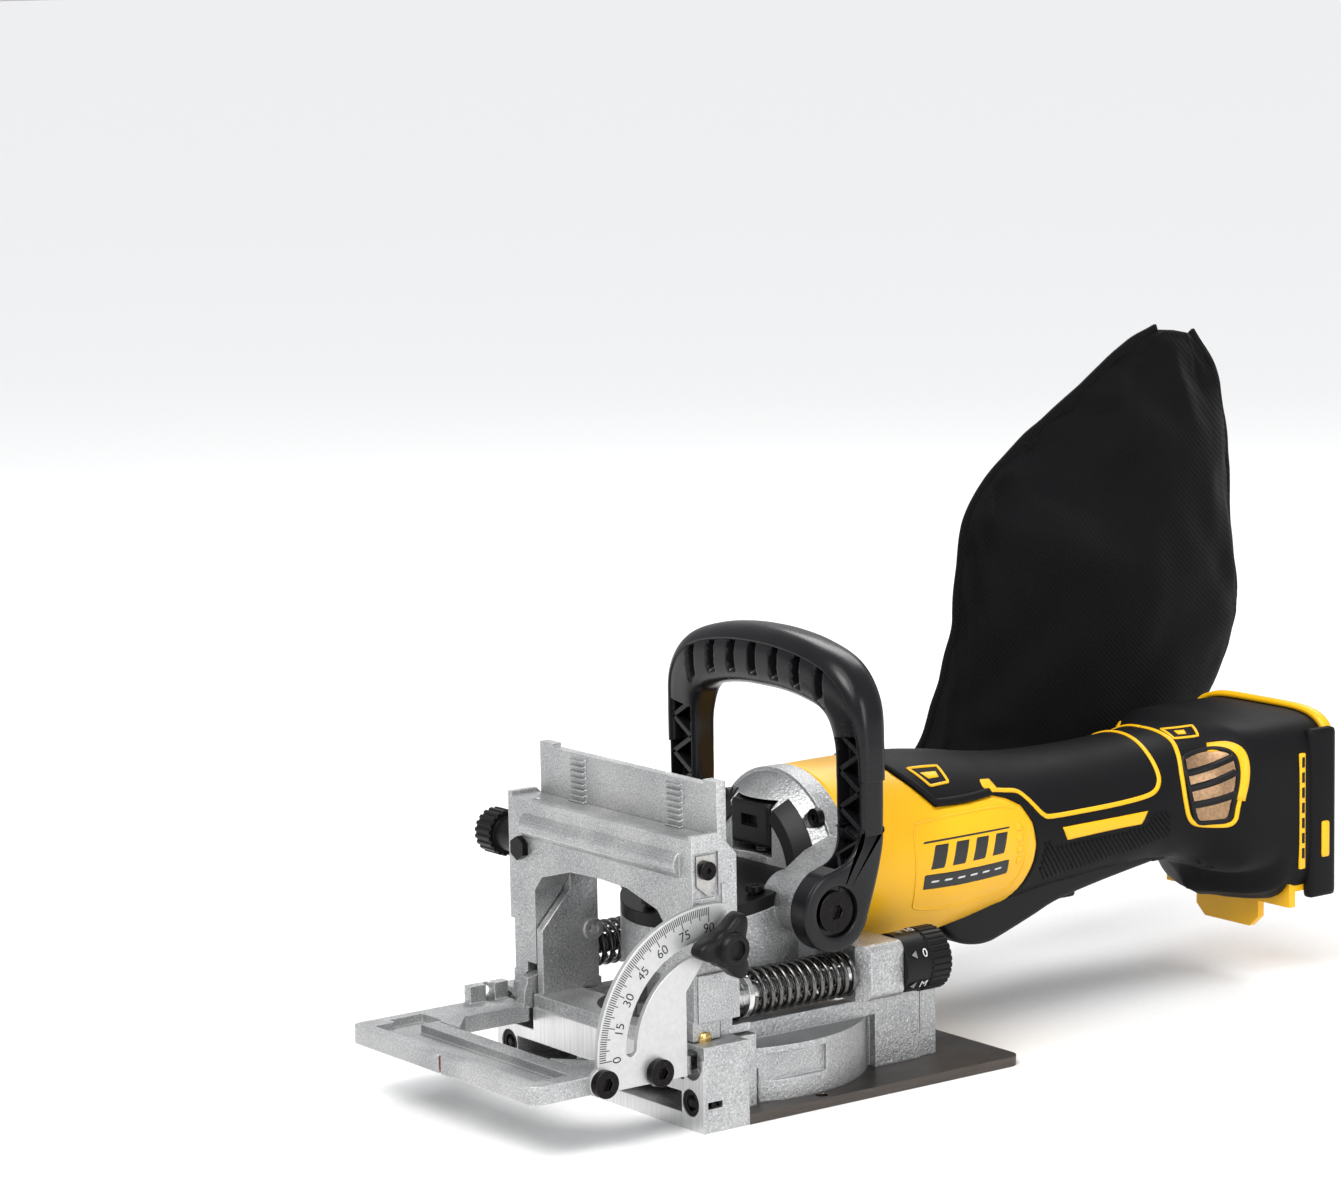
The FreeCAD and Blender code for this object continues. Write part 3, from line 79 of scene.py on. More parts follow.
# ---------------------------------------------------------------- material building
class Shader:
    """A node material being put together. Its patterns follow object coordinates, in metres."""

    def __init__(self, name, metallic=0.0, coat=0.0):
        self.material = bpy.data.materials.new(name)
        self.material.use_nodes = True
        self.tree = self.material.node_tree
        self.bsdf = self.tree.nodes["Principled BSDF"]
        self.bsdf.inputs["Metallic"].default_value = metallic
        self.bsdf.inputs["Coat Weight"].default_value = coat
        self.bsdf.inputs["Coat Roughness"].default_value = 0.12
        self.place = self.node("ShaderNodeTexCoord").outputs["Object"]

    def node(self, kind, **settings):
        made = self.tree.nodes.new(kind)
        for name, value in settings.items():
            setattr(made, name, value)
        return made

    def join(self, value, socket):
        """Links an output to an input, or sets the input to a plain number or colour."""
        if isinstance(value, bpy.types.NodeSocket):
            self.tree.links.new(value, socket)
        elif isinstance(value, tuple) and len(value) == 3 and len(socket.default_value) == 4:
            socket.default_value = (*value, 1.0)
        else:
            socket.default_value = value

    def stretched(self, scales):
        mapping = self.node("ShaderNodeMapping")
        self.join(self.place, mapping.inputs["Vector"])
        mapping.inputs["Scale"].default_value = scales
        return mapping.outputs["Vector"]

    def noise(self, scale, detail=4.0, rough=0.55, scales=EVEN):
        made = self.node("ShaderNodeTexNoise")
        self.join(self.stretched(scales), made.inputs["Vector"])
        made.inputs["Scale"].default_value = scale
        made.inputs["Detail"].default_value = detail
        made.inputs["Roughness"].default_value = rough
        return made.outputs["Fac"]

    def cells(self, scale):
        made = self.node("ShaderNodeTexVoronoi")
        self.join(self.place, made.inputs["Vector"])
        made.inputs["Scale"].default_value = scale
        return made.outputs["Distance"]

    def spread(self, value, low, high, to_low=0.0, to_high=1.0):
        made = self.node("ShaderNodeMapRange")
        self.join(value, made.inputs["Value"])
        for name, number in (("From Min", low), ("From Max", high), ("To Min", to_low), ("To Max", to_high)):
            made.inputs[name].default_value = number
        return made.outputs["Result"]

    def math(self, operation, a, b=0.0):
        made = self.node("ShaderNodeMath", operation=operation)
        self.join(a, made.inputs[0])
        self.join(b, made.inputs[1])
        return made.outputs[0]

    def mix(self, factor, a, b):
        made = self.node("ShaderNodeMix", data_type="RGBA")
        self.join(factor, made.inputs[0])
        self.join(a, made.inputs[6])
        self.join(b, made.inputs[7])
        return made.outputs[2]

    def axis(self, letter):
        made = self.node("ShaderNodeSeparateXYZ")
        self.join(self.place, made.inputs[0])
        return made.outputs[letter]

    def edges(self, radius):
        """Rounded normals, and how near a sharp edge each point is, from 0 to 1."""
        bevel = self.node("ShaderNodeBevel", samples=6)
        bevel.inputs["Radius"].default_value = radius
        flat = self.node("ShaderNodeNewGeometry").outputs["Normal"]
        dot = self.node("ShaderNodeVectorMath", operation="DOT_PRODUCT")
        self.join(bevel.outputs["Normal"], dot.inputs[0])
        self.join(flat, dot.inputs[1])
        return bevel.outputs["Normal"], self.spread(dot.outputs["Value"], 0.995, 0.85)

    def bump(self, height, depth, normal=None):
        made = self.node("ShaderNodeBump")
        made.inputs["Distance"].default_value = depth
        self.join(height, made.inputs["Height"])
        if normal is not None:
            self.join(normal, made.inputs["Normal"])
        return made.outputs["Normal"]

    def done(self, colour, roughness, normal):
        self.join(colour, self.bsdf.inputs["Base Color"])
        self.join(roughness, self.bsdf.inputs["Roughness"])
        self.join(normal, self.bsdf.inputs["Normal"])
        return self.material


def cast_metal(name, milled_y):
    """Sand-cast aluminium: a granular skin, faint flow blotches, and edges brightened as a painted highlight.

    A cutter has passed over the face at milled_y, in metres.
    """
    shader = Shader(name, metallic=0.92)
    blotch = shader.noise(38.0, 5.0)
    colour = shader.mix(shader.spread(blotch, 0.35, 0.7), ALUMINIUM_DARK, ALUMINIUM)
    fine = shader.noise(CAST_GRAIN, 2.0, 0.7)
    pits = shader.cells(CAST_GRAIN * 0.45)
    height = shader.math("ADD", fine, shader.math("MULTIPLY", pits, 0.6))
    colour = shader.mix(shader.spread(fine, 0.52, 0.72, 0.0, 0.75), colour, ALUMINIUM_PIT)
    colour = shader.mix(shader.spread(fine, 0.46, 0.30, 0.0, 0.7), colour, ALUMINIUM_BRIGHT)
    rounded, edge = shader.edges(0.0007)
    # painted highlight: the colour is brightened towards ALUMINIUM_BRIGHT near every sharp edge
    colour = shader.mix(shader.math("MULTIPLY", edge, 0.6), colour, ALUMINIUM_BRIGHT)
    away = shader.math("ABSOLUTE", shader.math("SUBTRACT", shader.axis("Y"), milled_y))
    face = shader.math("LESS_THAN", away, 0.00005)
    lines = shader.noise(900.0, 2.0, 0.6, (6.0, 1.0, 0.05))
    cut = shader.mix(shader.spread(lines, 0.3, 0.7), ALUMINIUM, ALUMINIUM_BRIGHT)
    keep = shader.math("SUBTRACT", 1.0, shader.math("MULTIPLY", face, 0.85))
    height = shader.math("MULTIPLY", height, keep)
    roughness = shader.spread(blotch, 0.3, 0.7, 0.40, 0.55)
    roughness = shader.math("SUBTRACT", roughness, shader.math("MULTIPLY", face, 0.14))
    return shader.done(shader.mix(face, colour, cut), roughness, shader.bump(height, CAST_DEPTH, rounded))


def smooth_metal(name, light, dark, rough, scales=EVEN, brush=700.0, depth=0.00001, edge_highlight_strength=0.5):
    """Turned, rolled or ground metal: faint brushing along one direction, and edges brightened as a painted
    highlight.
    """
    shader = Shader(name, metallic=1.0)
    blotch = shader.noise(55.0, 4.0)
    lines = shader.noise(brush, 3.0, 0.6, scales)
    colour = shader.mix(shader.spread(lines, 0.3, 0.7), dark, light)
    rounded, edge = shader.edges(0.0004)
    bright = tuple(min(1.0, channel * 1.5 + 0.05) for channel in light)
    # painted highlight: the colour is brightened near sharp edges
    colour = shader.mix(shader.math("MULTIPLY", edge, edge_highlight_strength), colour, bright)
    roughness = shader.spread(blotch, 0.3, 0.7, *rough)
    return shader.done(colour, roughness, shader.bump(lines, depth, rounded))


def moulded(name, light, dark, rough, shine, edge_highlight_colour=None, grain=1500.0, depth=0.00002, coat=0.0):
    """Injection-moulded plastic or rubber: spark-eroded grain, slight mottling, soft edges, and a painted
    highlight along them where its colour is given.
    """
    shader = Shader(name, coat=coat)
    shader.bsdf.inputs["Specular IOR Level"].default_value = shine
    blotch = shader.noise(30.0, 3.0)
    fine = shader.noise(grain, 2.0, 0.6)
    colour = shader.mix(shader.spread(blotch, 0.3, 0.7), dark, light)
    rounded, edge = shader.edges(0.0006)
    # painted highlight: the colour is lightened near sharp edges
    if edge_highlight_colour:
        colour = shader.mix(shader.math("MULTIPLY", edge, 0.5), colour, edge_highlight_colour)
    roughness = shader.spread(shader.math("ADD", blotch, shader.math("MULTIPLY", fine, 0.3)), 0.4, 0.95, *rough)
    return shader.done(colour, roughness, shader.bump(fine, depth, rounded))


def twill(name):
    """Black twill: diagonal ribs a little under a millimetre apart, fuzz and a soft sheen."""
    shader = Shader(name)
    wave = shader.node("ShaderNodeTexWave", wave_type="BANDS", bands_direction="DIAGONAL")
    shader.join(shader.place, wave.inputs["Vector"])
    wave.inputs["Scale"].default_value = 260.0
    wave.inputs["Distortion"].default_value = 1.2
    wave.inputs["Detail"].default_value = 2.0
    wave.inputs["Detail Scale"].default_value = 2.0
    fuzz = shader.noise(1800.0, 3.0, 0.7)
    faded = shader.noise(24.0, 4.0)
    height = shader.math("ADD", wave.outputs["Fac"], shader.math("MULTIPLY", fuzz, 0.7))
    colour = shader.mix(shader.spread(faded, 0.35, 0.7), (0.0012, 0.0012, 0.0015), (0.0032, 0.0032, 0.0038))
    colour = shader.mix(shader.spread(fuzz, 0.45, 0.8, 0.0, 0.25), colour, (0.011, 0.011, 0.013))
    shader.bsdf.inputs["Sheen Weight"].default_value = 0.03
    shader.bsdf.inputs["Sheen Roughness"].default_value = 0.45
    shader.bsdf.inputs["Specular IOR Level"].default_value = 0.12
    return shader.done(colour, shader.spread(faded, 0.3, 0.7, 0.78, 0.92), shader.bump(height, 0.00012))


def ink(name, colour):
    """Printed marking, with slight unevenness in the film."""
    shader = Shader(name)
    worn = shader.noise(900.0, 3.0)
    shade = tuple(channel * 0.7 for channel in colour)
    made = shader.mix(shader.spread(worn, 0.35, 0.75), shade, colour)
    return shader.done(made, shader.spread(worn, 0.3, 0.7, 0.45, 0.57), shader.bump(worn, 0.000005))


METALS = {
    # lighter and darker shade, roughness; then the stretch, scale and depth of the brushing, and the strength of
    # the painted highlight on edges
    "scale_aluminium": ((0.62, 0.62, 0.615), (0.56, 0.56, 0.555), (0.46, 0.54), EVEN, 500.0, 0.000002),
    "sole_steel": (STEEL_BROWN, (0.085, 0.075, 0.068), (0.34, 0.46), (1, 0.06, 1), 1500.0, 0.00001, 0.8),
    "black_steel": ((0.022, 0.020, 0.020), (0.012, 0.011, 0.011), (0.28, 0.40)),
    "spring_steel": ((0.17, 0.165, 0.16), (0.08, 0.078, 0.075), (0.18, 0.28)),
    "bright_steel": ((0.78, 0.78, 0.77), (0.60, 0.60, 0.60), (0.12, 0.22)),
    "blade_steel": ((0.62, 0.62, 0.62), (0.48, 0.48, 0.48), (0.20, 0.30)),
    "gear_steel": ((0.50, 0.49, 0.47), (0.38, 0.37, 0.36), (0.25, 0.35)),
    "filter_mesh": ((0.40, 0.25, 0.14), (0.24, 0.15, 0.09), (0.35, 0.5)),
    "copper_wire": ((0.75, 0.34, 0.16), (0.55, 0.22, 0.10), (0.25, 0.35)),
    "terminal_brass": ((0.70, 0.50, 0.20), (0.52, 0.36, 0.13), (0.22, 0.34)),
}
MOULDINGS = {
    # lighter and darker shade, roughness, shine, colour of the painted highlight on edges; then grain, its
    # depth, and coat
    "black_plastic": ((0.006, 0.006, 0.0065), BLACK, (0.36, 0.48), 0.2, (0.02, 0.02, 0.022)),
    "gloss_black": ((0.007, 0.007, 0.008), (0.004, 0.004, 0.005), (0.24, 0.34), 0.22, (0.018, 0.018, 0.02),
                    700.0, 0.00001, 0.10),
    "yellow_plastic": (YELLOW, YELLOW_DEEP, (0.30, 0.40), 0.3, None, 1300.0, 0.00001, 0.04),
    "soft_grip": (RUBBER, (0.007, 0.007, 0.008), (0.46, 0.58), 0.09, (0.014, 0.014, 0.015), 1900.0, 0.00004),
}
INKS = {
    "ink_black": (0.01, 0.01, 0.01), "ink_white": (0.75, 0.75, 0.74), "ink_grey": (0.22, 0.22, 0.22),
    "ink_red": RED,
}
# a finish has the name of the record's material slot, apart from the inks
FINISH = {"cast_aluminium": cast_metal("cast_aluminium", -HALF_LENGTH * MM), "bag_fabric": twill("bag_fabric")}
for make, table in ((smooth_metal, METALS), (moulded, MOULDINGS)):
    FINISH.update({name: make(name, *settings) for name, settings in table.items()})
FINISH.update({name: ink(name, colour) for name, colour in INKS.items()})

NODE_FINISH = {"angle_pointer": "gear_steel"}
for part in frame["record"]["subparts"]:
    mesh = frame["nodes"][part["node"]].data
    mesh.materials.clear()
    mesh.materials.append(FINISH[NODE_FINISH.get(part["node"], part["material_slot"])])


# ---------------------------------------------------------------- shapes
def at(x, y, z):
    """A point given in millimetres, with y counted from the base's front face, in the row frame."""
    return Vector((x, y - HALF_LENGTH, z)) * MM


def curve_through(points, steps):
    """A smooth open line through the points (Catmull-Rom), with that many steps between neighbours."""
    points = [Vector(p) for p in points]
    ends = [2 * points[0] - points[1]] + points + [2 * points[-1] - points[-2]]
    line = []
    for k in range(len(points) - 1):
        a, b, c, d = ends[k:k + 4]
        for n in range(steps):
            t = n / steps
            line.append(0.5 * (2 * b + (c - a) * t + (2 * a - 5 * b + 4 * c - d) * t ** 2
                               + (3 * b - a - 3 * c + d) * t ** 3))
    return line + [points[-1]]


def evenly(points, spacing):
    """The same line with its points that far apart."""
    line = [Vector(points[0])]
    left = spacing
    for start, end in zip(points, points[1:]):
        step = Vector(end) - Vector(start)
        while step.length >= left and step.length > 0:
            start = Vector(start) + step.normalized() * left
            line.append(start.copy())
            step = Vector(end) - start
            left = spacing
        left -= step.length
    if (line[-1] - Vector(points[-1])).length > spacing * 0.2:
        line.append(Vector(points[-1]))
    return line


def new_piece(name, form, slot, body, finish=None, smooth=True):
    """Turns a bmesh, in the row frame, into a piece that rides on a body, with its slot's finish or its own."""
    bmesh.ops.recalc_face_normals(form, faces=form.faces)
    mesh = bpy.data.meshes.new(name)
    form.to_mesh(mesh)
    form.free()
    mesh.materials.append(FINISH[finish or slot])
    if smooth:
        mesh.shade_smooth()
    piece = bpy.data.objects.new(name, mesh)
    bpy.context.collection.objects.link(piece)
    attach(piece, body)
    return piece


def eased(share):
    """A share held between 0 and 1, leaving and reaching its ends softly."""
    share = min(1.0, max(0.0, share))
    return share * share * (3 - 2 * share)


def ring(x, centre, radius, count):
    """A circle of points that faces across the tool: centre is (y, z)."""
    turns = [2 * math.pi * k / count for k in range(count)]
    return [at(x, centre[0] + radius * math.cos(turn), centre[1] + radius * math.sin(turn)) for turn in turns]


def sharpen(piece, degrees):
    """Keeps edges steeper than that angle crisp on an otherwise smooth piece."""
    mesh = piece.data
    form = bmesh.new()
    form.from_mesh(mesh)
    for edge in form.edges:
        if len(edge.link_faces) == 2 and edge.calc_face_angle() > math.radians(degrees):
            edge.smooth = False
    form.to_mesh(mesh)
    form.free()
    return piece


def add_skin(form, rows, closed=True, caps=True):
    """Faces between rows of points; each row is one loop round the shape."""
    made = [[form.verts.new(point) for point in row] for row in rows]
    width = len(made[0])
    last = width if closed else width - 1
    for low, high in zip(made, made[1:]):
        for k in range(last):
            form.faces.new((low[k], low[(k + 1) % width], high[(k + 1) % width], high[k]))
    if caps:
        form.faces.new(list(reversed(made[0])))
        form.faces.new(made[-1])
    return made


def add_block(form, low, high, edge):
    """A box between two corners in millimetres, with bevelled edges."""
    made = bmesh.ops.create_cube(form, size=1.0)
    size = Vector(high) - Vector(low)
    middle = (Vector(high) + Vector(low)) / 2
    for vert in made["verts"]:
        vert.co = at(*(middle + Vector([vert.co[k] * size[k] for k in range(3)])))
    if edge:
        edges = list({e for vert in made["verts"] for e in vert.link_edges})
        bmesh.ops.bevel(form, geom=edges, offset=edge * MM, segments=2, profile=0.6, affect="EDGES")


def add_pair(form, low, high, edge):
    """The same box on both sides of the tool, given by its corners on the right side."""
    for side in (1, -1):
        near, far = sorted((side * low[0], side * high[0]))
        add_block(form, (near, *low[1:]), (far, *high[1:]), edge)


# ---------------------------------------------------------------- the long body
# station, height of centre, half width, half height, squareness of the section
BODY = [
    (92.2, 76.0, 36.8, 36.8, 2.0), (118.0, 76.0, 37.0, 37.0, 2.0), (142.0, 76.0, 36.4, 36.4, 2.0),
    (162.0, 76.0, 34.0, 34.0, 2.0), (180.0, 76.0, 31.0, 31.0, 2.0), (200.0, 76.0, 28.9, 28.9, 2.0),
    (230.0, 76.0, 28.2, 28.2, 2.0), (254.0, 76.0, 28.8, 28.8, 2.1), (268.0, 75.8, 30.6, 29.6, 2.2),
    (280.0, 75.0, 34.0, 31.2, 2.6), (288.0, 73.8, 37.8, 34.0, 3.4), (294.0, 73.0, 39.6, 35.3, 4.4),
    (306.0, 72.5, 40.0, 35.5, 5.0), (324.0, 72.5, 40.0, 35.5, 5.0), (340.0, 72.5, 39.6, 35.2, 5.0),
]
PER_DEGREE = 0.52  # millimetres of surface for one degree round the grip


def station(y):
    """The section's four numbers at y, along a smooth curve through the table."""
    y = min(max(y, BODY[0][0]), BODY[-1][0])
    k = max(n for n in range(len(BODY) - 1) if BODY[n][0] <= y)
    row, after = BODY[k], BODY[k + 1]
    before, beyond = BODY[max(k - 1, 0)], BODY[min(k + 2, len(BODY) - 1)]
    gap = after[0] - row[0]
    t = (y - row[0]) / gap
    found = []
    for n in range(1, 5):
        slope_in = (after[n] - before[n]) / (after[0] - before[0]) * gap
        slope_out = (beyond[n] - row[n]) / (beyond[0] - row[0]) * gap
        found.append((2 * t ** 3 - 3 * t ** 2 + 1) * row[n] + (t ** 3 - 2 * t ** 2 + t) * slope_in
                     + (3 * t ** 2 - 2 * t ** 3) * after[n] + (t ** 3 - t ** 2) * slope_out)
    return found


# station, and how far the underside is drawn up there; it drops again at the nose of the battery foot
BELLY = [(90.0, 0.0), (190.0, 0.0), (215.0, 1.4), (240.0, 3.6), (262.0, 5.8), (279.0, 8.2), (289.0, 8.2),
         (296.0, -2.0), (304.0, -5.0), (350.0, -5.0)]
NOSE_START = 279.0
NOSE_SWEEP = 0.5  # the nose runs back by this much for each millimetre sideways


def belly(y):
    """How far the underside is drawn up at y."""
    for (y0, lift0), (y1, lift1) in zip(BELLY, BELLY[1:]):
        if y <= y1:
            return lift0 + (lift1 - lift0) * eased((y - y0) / (y1 - y0))
    return BELLY[-1][1]


def on_body(y, turn, out=0.0):
    """A point on the body, in millimetres: turn is degrees up from the right side, out is off the skin."""
    middle, half_x, half_z, square = station(y)
    c, s = math.cos(math.radians(turn)), math.sin(math.radians(turn))
    x = math.copysign(abs(c) ** (2.0 / square), c) * (half_x + out)
    below = belly(min(y, max(NOSE_START, y - NOSE_SWEEP * abs(x)))) if s < 0 else 0.0
    z = math.copysign(abs(s) ** (2.0 / square), s) * (half_z - below + out)
    return Vector((x, y, middle + z))


def out_of_body(y, turn):
    """The direction straight out of the skin."""
    along = on_body(y + 0.4, turn) - on_body(y - 0.4, turn)
    around = on_body(y, turn + 0.8) - on_body(y, turn - 0.8)
    out = around.cross(along).normalized()
    from_middle = on_body(y, turn) - Vector((0, y, station(y)[0]))
    return -out if out.dot(from_middle) < 0 else out


def within(y, turn, outline):
    """Whether a point of the unrolled body is inside a closed outline."""
    inside = False
    for (y0, t0), (y1, t1) in zip(outline, outline[1:] + outline[:1]):
        if (t0 > turn) != (t1 > turn) and y < (y1 - y0) * (turn - t0) / (t1 - t0) + y0:
            inside = not inside
    return inside


def nearest_on(y, turn, outline):
    """The nearest point of the outline, measured on the unrolled body."""
    best, found = 1e9, (y, turn)
    for (y0, t0), (y1, t1) in zip(outline, outline[1:] + outline[:1]):
        dy, dt = y1 - y0, (t1 - t0) * PER_DEGREE
        py, pt = y - y0, (turn - t0) * PER_DEGREE
        share = min(1.0, max(0.0, (py * dy + pt * dt) / max(dy * dy + dt * dt, 1e-9)))
        gap = math.hypot(py - share * dy, pt - share * dt)
        if gap < best:
            best, found = gap, (y0 + share * dy, t0 + share * (t1 - t0))
    return found


def add_patch(form, outline, low, high, step=0.9, mirrored=True):
    """A sheet on the body inside an outline, from low to high off its skin, with a soft shoulder."""
    step_turn = step / PER_DEGREE
    y0, y1 = min(p[0] for p in outline), max(p[0] for p in outline)
    t0, t1 = min(p[1] for p in outline), max(p[1] for p in outline)
    rows, columns = max(2, round((y1 - y0) / step)), max(2, round((t1 - t0) / step_turn))
    grid_y = [y0 + (y1 - y0) * k / rows for k in range(rows + 1)]
    grid_t = [t0 + (t1 - t0) * k / columns for k in range(columns + 1)]
    cells = []
    for i in range(rows):
        for j in range(columns):
            if within((grid_y[i] + grid_y[i + 1]) / 2, (grid_t[j] + grid_t[j + 1]) / 2, outline):
                cells.append((i, j))
    kept = set(cells)
    count = {}
    for i, j in cells:
        for corner in ((i, j), (i + 1, j), (i + 1, j + 1), (i, j + 1)):
            count[corner] = count.get(corner, 0) + 1
    places, rim = {}, set()
    for (i, j), uses in count.items():
        y, turn = grid_y[i], grid_t[j]
        if uses < 4:
            y, turn = nearest_on(y, turn, outline)
            rim.add((i, j))
        places[i, j] = (y, turn)
    for side in ((1, -1) if mirrored else (1,)):
        flip = Vector((side, 1, 1))
        top, foot = {}, {}
        for corner, (y, turn) in places.items():
            on_seam = abs(abs(turn) - 90) < 0.01 and mirrored
            out = high - 0.3 * (high - low) if corner in rim and not on_seam else high
            top[corner] = form.verts.new(at(*(on_body(y, turn, out) * flip)))
        for i, j in cells:
            corners = ((i, j), (i + 1, j), (i + 1, j + 1), (i, j + 1))
            form.faces.new([top[c] for c in corners])
            neighbours = (((i, j - 1), 0, 1), ((i + 1, j), 1, 2), ((i, j + 1), 2, 3), ((i - 1, j), 3, 0))
            for other, a, b in neighbours:
                if other in kept:
                    continue
                ends = (corners[a], corners[b])
                if mirrored and all(abs(abs(places[c][1]) - 90) < 0.01 for c in ends):
                    continue
                for c in ends:
                    if c not in foot:
                        foot[c] = form.verts.new(at(*(on_body(*places[c], low) * flip)))
                form.faces.new((top[ends[1]], top[ends[0]], foot[ends[0]], foot[ends[1]]))
    bmesh.ops.remove_doubles(form, verts=form.verts, dist=0.02 * MM)


def add_ribbon(form, path, width, height, low=-0.4, mirrored=True, smooth=True, closed=False, spacing=1.0):
    """A raised band that follows a path on the body, given as station and turn."""
    path = [Vector((y, turn * PER_DEGREE, 0)) for y, turn in path]
    if closed:
        path.append(path[0])
    line = evenly(curve_through(path, 12) if smooth else path, spacing)
    for side in ((1, -1) if mirrored else (1,)):
        rows = []
        for k, spot in enumerate(line):
            y, turn = spot.x, spot.y / PER_DEGREE
            ahead, behind = line[min(k + 1, len(line) - 1)], line[max(k - 1, 0)]
            if closed and k in (0, len(line) - 1):
                ahead, behind = line[1], line[-2]
            along = on_body(ahead.x, ahead.y / PER_DEGREE) - on_body(behind.x, behind.y / PER_DEGREE)
            up = out_of_body(y, turn)
            across = up.cross(along).normalized()
            base = on_body(y, turn)
            shoulder = height * 0.45
            shape = ((-0.5, low), (-0.5, shoulder), (-0.30, height), (0.30, height), (0.5, shoulder),
                     (0.5, low))
            rows.append([at(*((base + across * (a * width) + up * b) * Vector((side, 1, 1)))) for a, b in shape])
        add_skin(form, rows)


FRONT_EDGE = [(120.0, 90.0), (124.0, 70.0), (126.5, 57.0), (131.5, 42.5), (136.5, 30.5), (156.0, 32.0),
              (169.0, 34.5),
              (176.0, 31.5), (182.5, 25.0), (187.0, 12.0), (188.5, -5.0), (188.0, -20.0), (186.0, -40.0),
              (182.0, -66.0), (180.0, -90.0)]
VENT_FRAME = [(270.6, 41.0), (277.0, 44.0), (283.0, 43.0), (287.6, 34.0), (288.6, 20.0), (287.4, 7.0),
              (284.0, -3.0),
              (278.0, -8.0), (272.4, -9.0), (269.8, 2.0), (268.8, 16.0), (269.2, 30.0)]
FRONT_UNDER = [(183.2, -60.0), (165.0, -63.4), (151.0, -65.0), (151.0, -90.0)]
REAR_UNDER = [(183.4, -57.0), (183.4, -59.0), (255.0, -59.0), (272.6, -62.0), (272.6, -90.0), (317.4, -90.0),
              (317.4, -40.0), (339.8, -40.0), (339.8, 90.0)]
BATTERY_ROOM = ((-36.2, 318.0, 20.0), (36.2, 345.0, 101.0))
PADDLE_ROOM = ((-14.9, 151.6, 20.0), (14.9, 272.0, 61.0))
BODY_LOOPS = 206
BODY_COLUMNS = 120
CORE_DEPTH = 1.0
CORE_BLACK_FROM = 262.0


def make_core():
    """The body under its shells, with room for the battery's rails and for the paddle."""
    shell = bmesh.new()
    stations = [92.4 + 247.2 * k / BODY_LOOPS for k in range(BODY_LOOPS + 1)]
    turns = [360.0 / BODY_COLUMNS * k for k in range(BODY_COLUMNS)]
    add_skin(shell, [[at(*on_body(y, turn, -CORE_DEPTH)) for turn in turns] for y in stations])
    for face in shell.faces:
        face.material_index = int(face.calc_center_median().y > at(0, CORE_BLACK_FROM, 0).y)
    body = new_piece("body_core", shell, "yellow_plastic", "drive")
    body.data.materials.append(FINISH["soft_grip"])
    room = bmesh.new()
    add_block(room, *BATTERY_ROOM, 0)
    add_block(room, *PADDLE_ROOM, 0)
    tool = new_piece("rooms", room, "soft_grip", "drive")
    cut = body.modifiers.new("rooms", "BOOLEAN")
    cut.operation, cut.object, cut.solver, cut.material_mode = "DIFFERENCE", tool, "EXACT", "TRANSFER"
    bpy.context.view_layer.update()
    hollow = bpy.data.meshes.new_from_object(body.evaluated_get(bpy.context.evaluated_depsgraph_get()))
    body.modifiers.clear()
    body.data = hollow
    bpy.data.objects.remove(tool)
    sharpen(body, 40)
    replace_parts(body, "housing_right", "housing_left", "overmould_right", "overmould_left", "foot_trim")


def make_shells():
    """The yellow front shell, and the black rubber that begins just behind its edge."""
    front = bmesh.new()
    add_patch(front, [(92.4, -90.0), (92.4, 90.0)] + FRONT_EDGE[:-2] + FRONT_UNDER, -1.2, 0.0)
    new_piece("front_shell", front, "yellow_plastic", "drive")

    grip = bmesh.new()
    rear = [(y + 0.6, turn + (1.6 if 131 < y < 184 and turn > 20 else 0.0)) for y, turn in FRONT_EDGE]
    add_patch(grip, rear[:-2] + REAR_UNDER, -1.2, 0.0)
    new_piece("overmould", grip, "soft_grip", "drive")

    saddle = bmesh.new()
    add_ribbon(saddle, [(121.5, 89.0), (125.5, 70.0), (128.6, 57.5), (133.2, 44.5), (137.6, 34.0)], 3.0, 1.1)
    add_ribbon(saddle, [(137.0, 34.5), (146.0, 34.3), (156.0, 35.2), (168.0, 38.0)], 3.2, 1.1)
    new_piece("saddle_edge", saddle, "soft_grip", "drive")


def make_piping():
    """The raised yellow lines on the rubber, the hook round the vents, and the stripe on each side."""
    piping = bmesh.new()
    add_ribbon(piping, [(170.0, 39.5), (176.0, 38.6), (183.0, 37.0), (187.0, 30.5), (190.0, 23.5),
                        (193.5, 16.5),
                        (198.0, 14.2), (217.0, 14.2), (236.0, 14.8), (247.5, 16.0), (252.6, 18.5),
                        (255.4, 24.0),
                        (256.6, 32.0), (257.0, 53.0), (257.6, 72.0), (258.0, 90.0)], 1.9, 0.55)
    add_ribbon(piping, [(270.5, 90.0), (271.3, 75.0), (271.4, 60.0), (269.4, 44.0), (267.0, 26.0),
                        (266.6, 8.0),
                        (268.6, -6.0), (272.6, -11.2), (279.0, -10.4), (285.0, -5.0),
                        (289.4, 4.0)], 1.9, 0.55)
    add_ribbon(piping, [(288.8, 2.0), (290.6, 9.0), (291.2, 20.0), (290.2, 32.0), (287.0, 41.0),
                        (281.5, 45.5)],
               4.2, 0.6)
    add_patch(piping, [(165.5, 42.0), (166.0, 48.0), (171.5, 48.5), (173.5, 38.0), (168.0, 37.5)], -0.4, 0.6)
    new_piece("piping", piping, "yellow_plastic", "drive")

    stripe = bmesh.new()
    add_patch(stripe, [(203.0, 4.2), (248.0, 4.6), (244.6, -5.2), (205.6, -6.8)], -0.4, 0.45, 0.6)
    new_piece("side_stripe", stripe, "yellow_plastic", "drive")


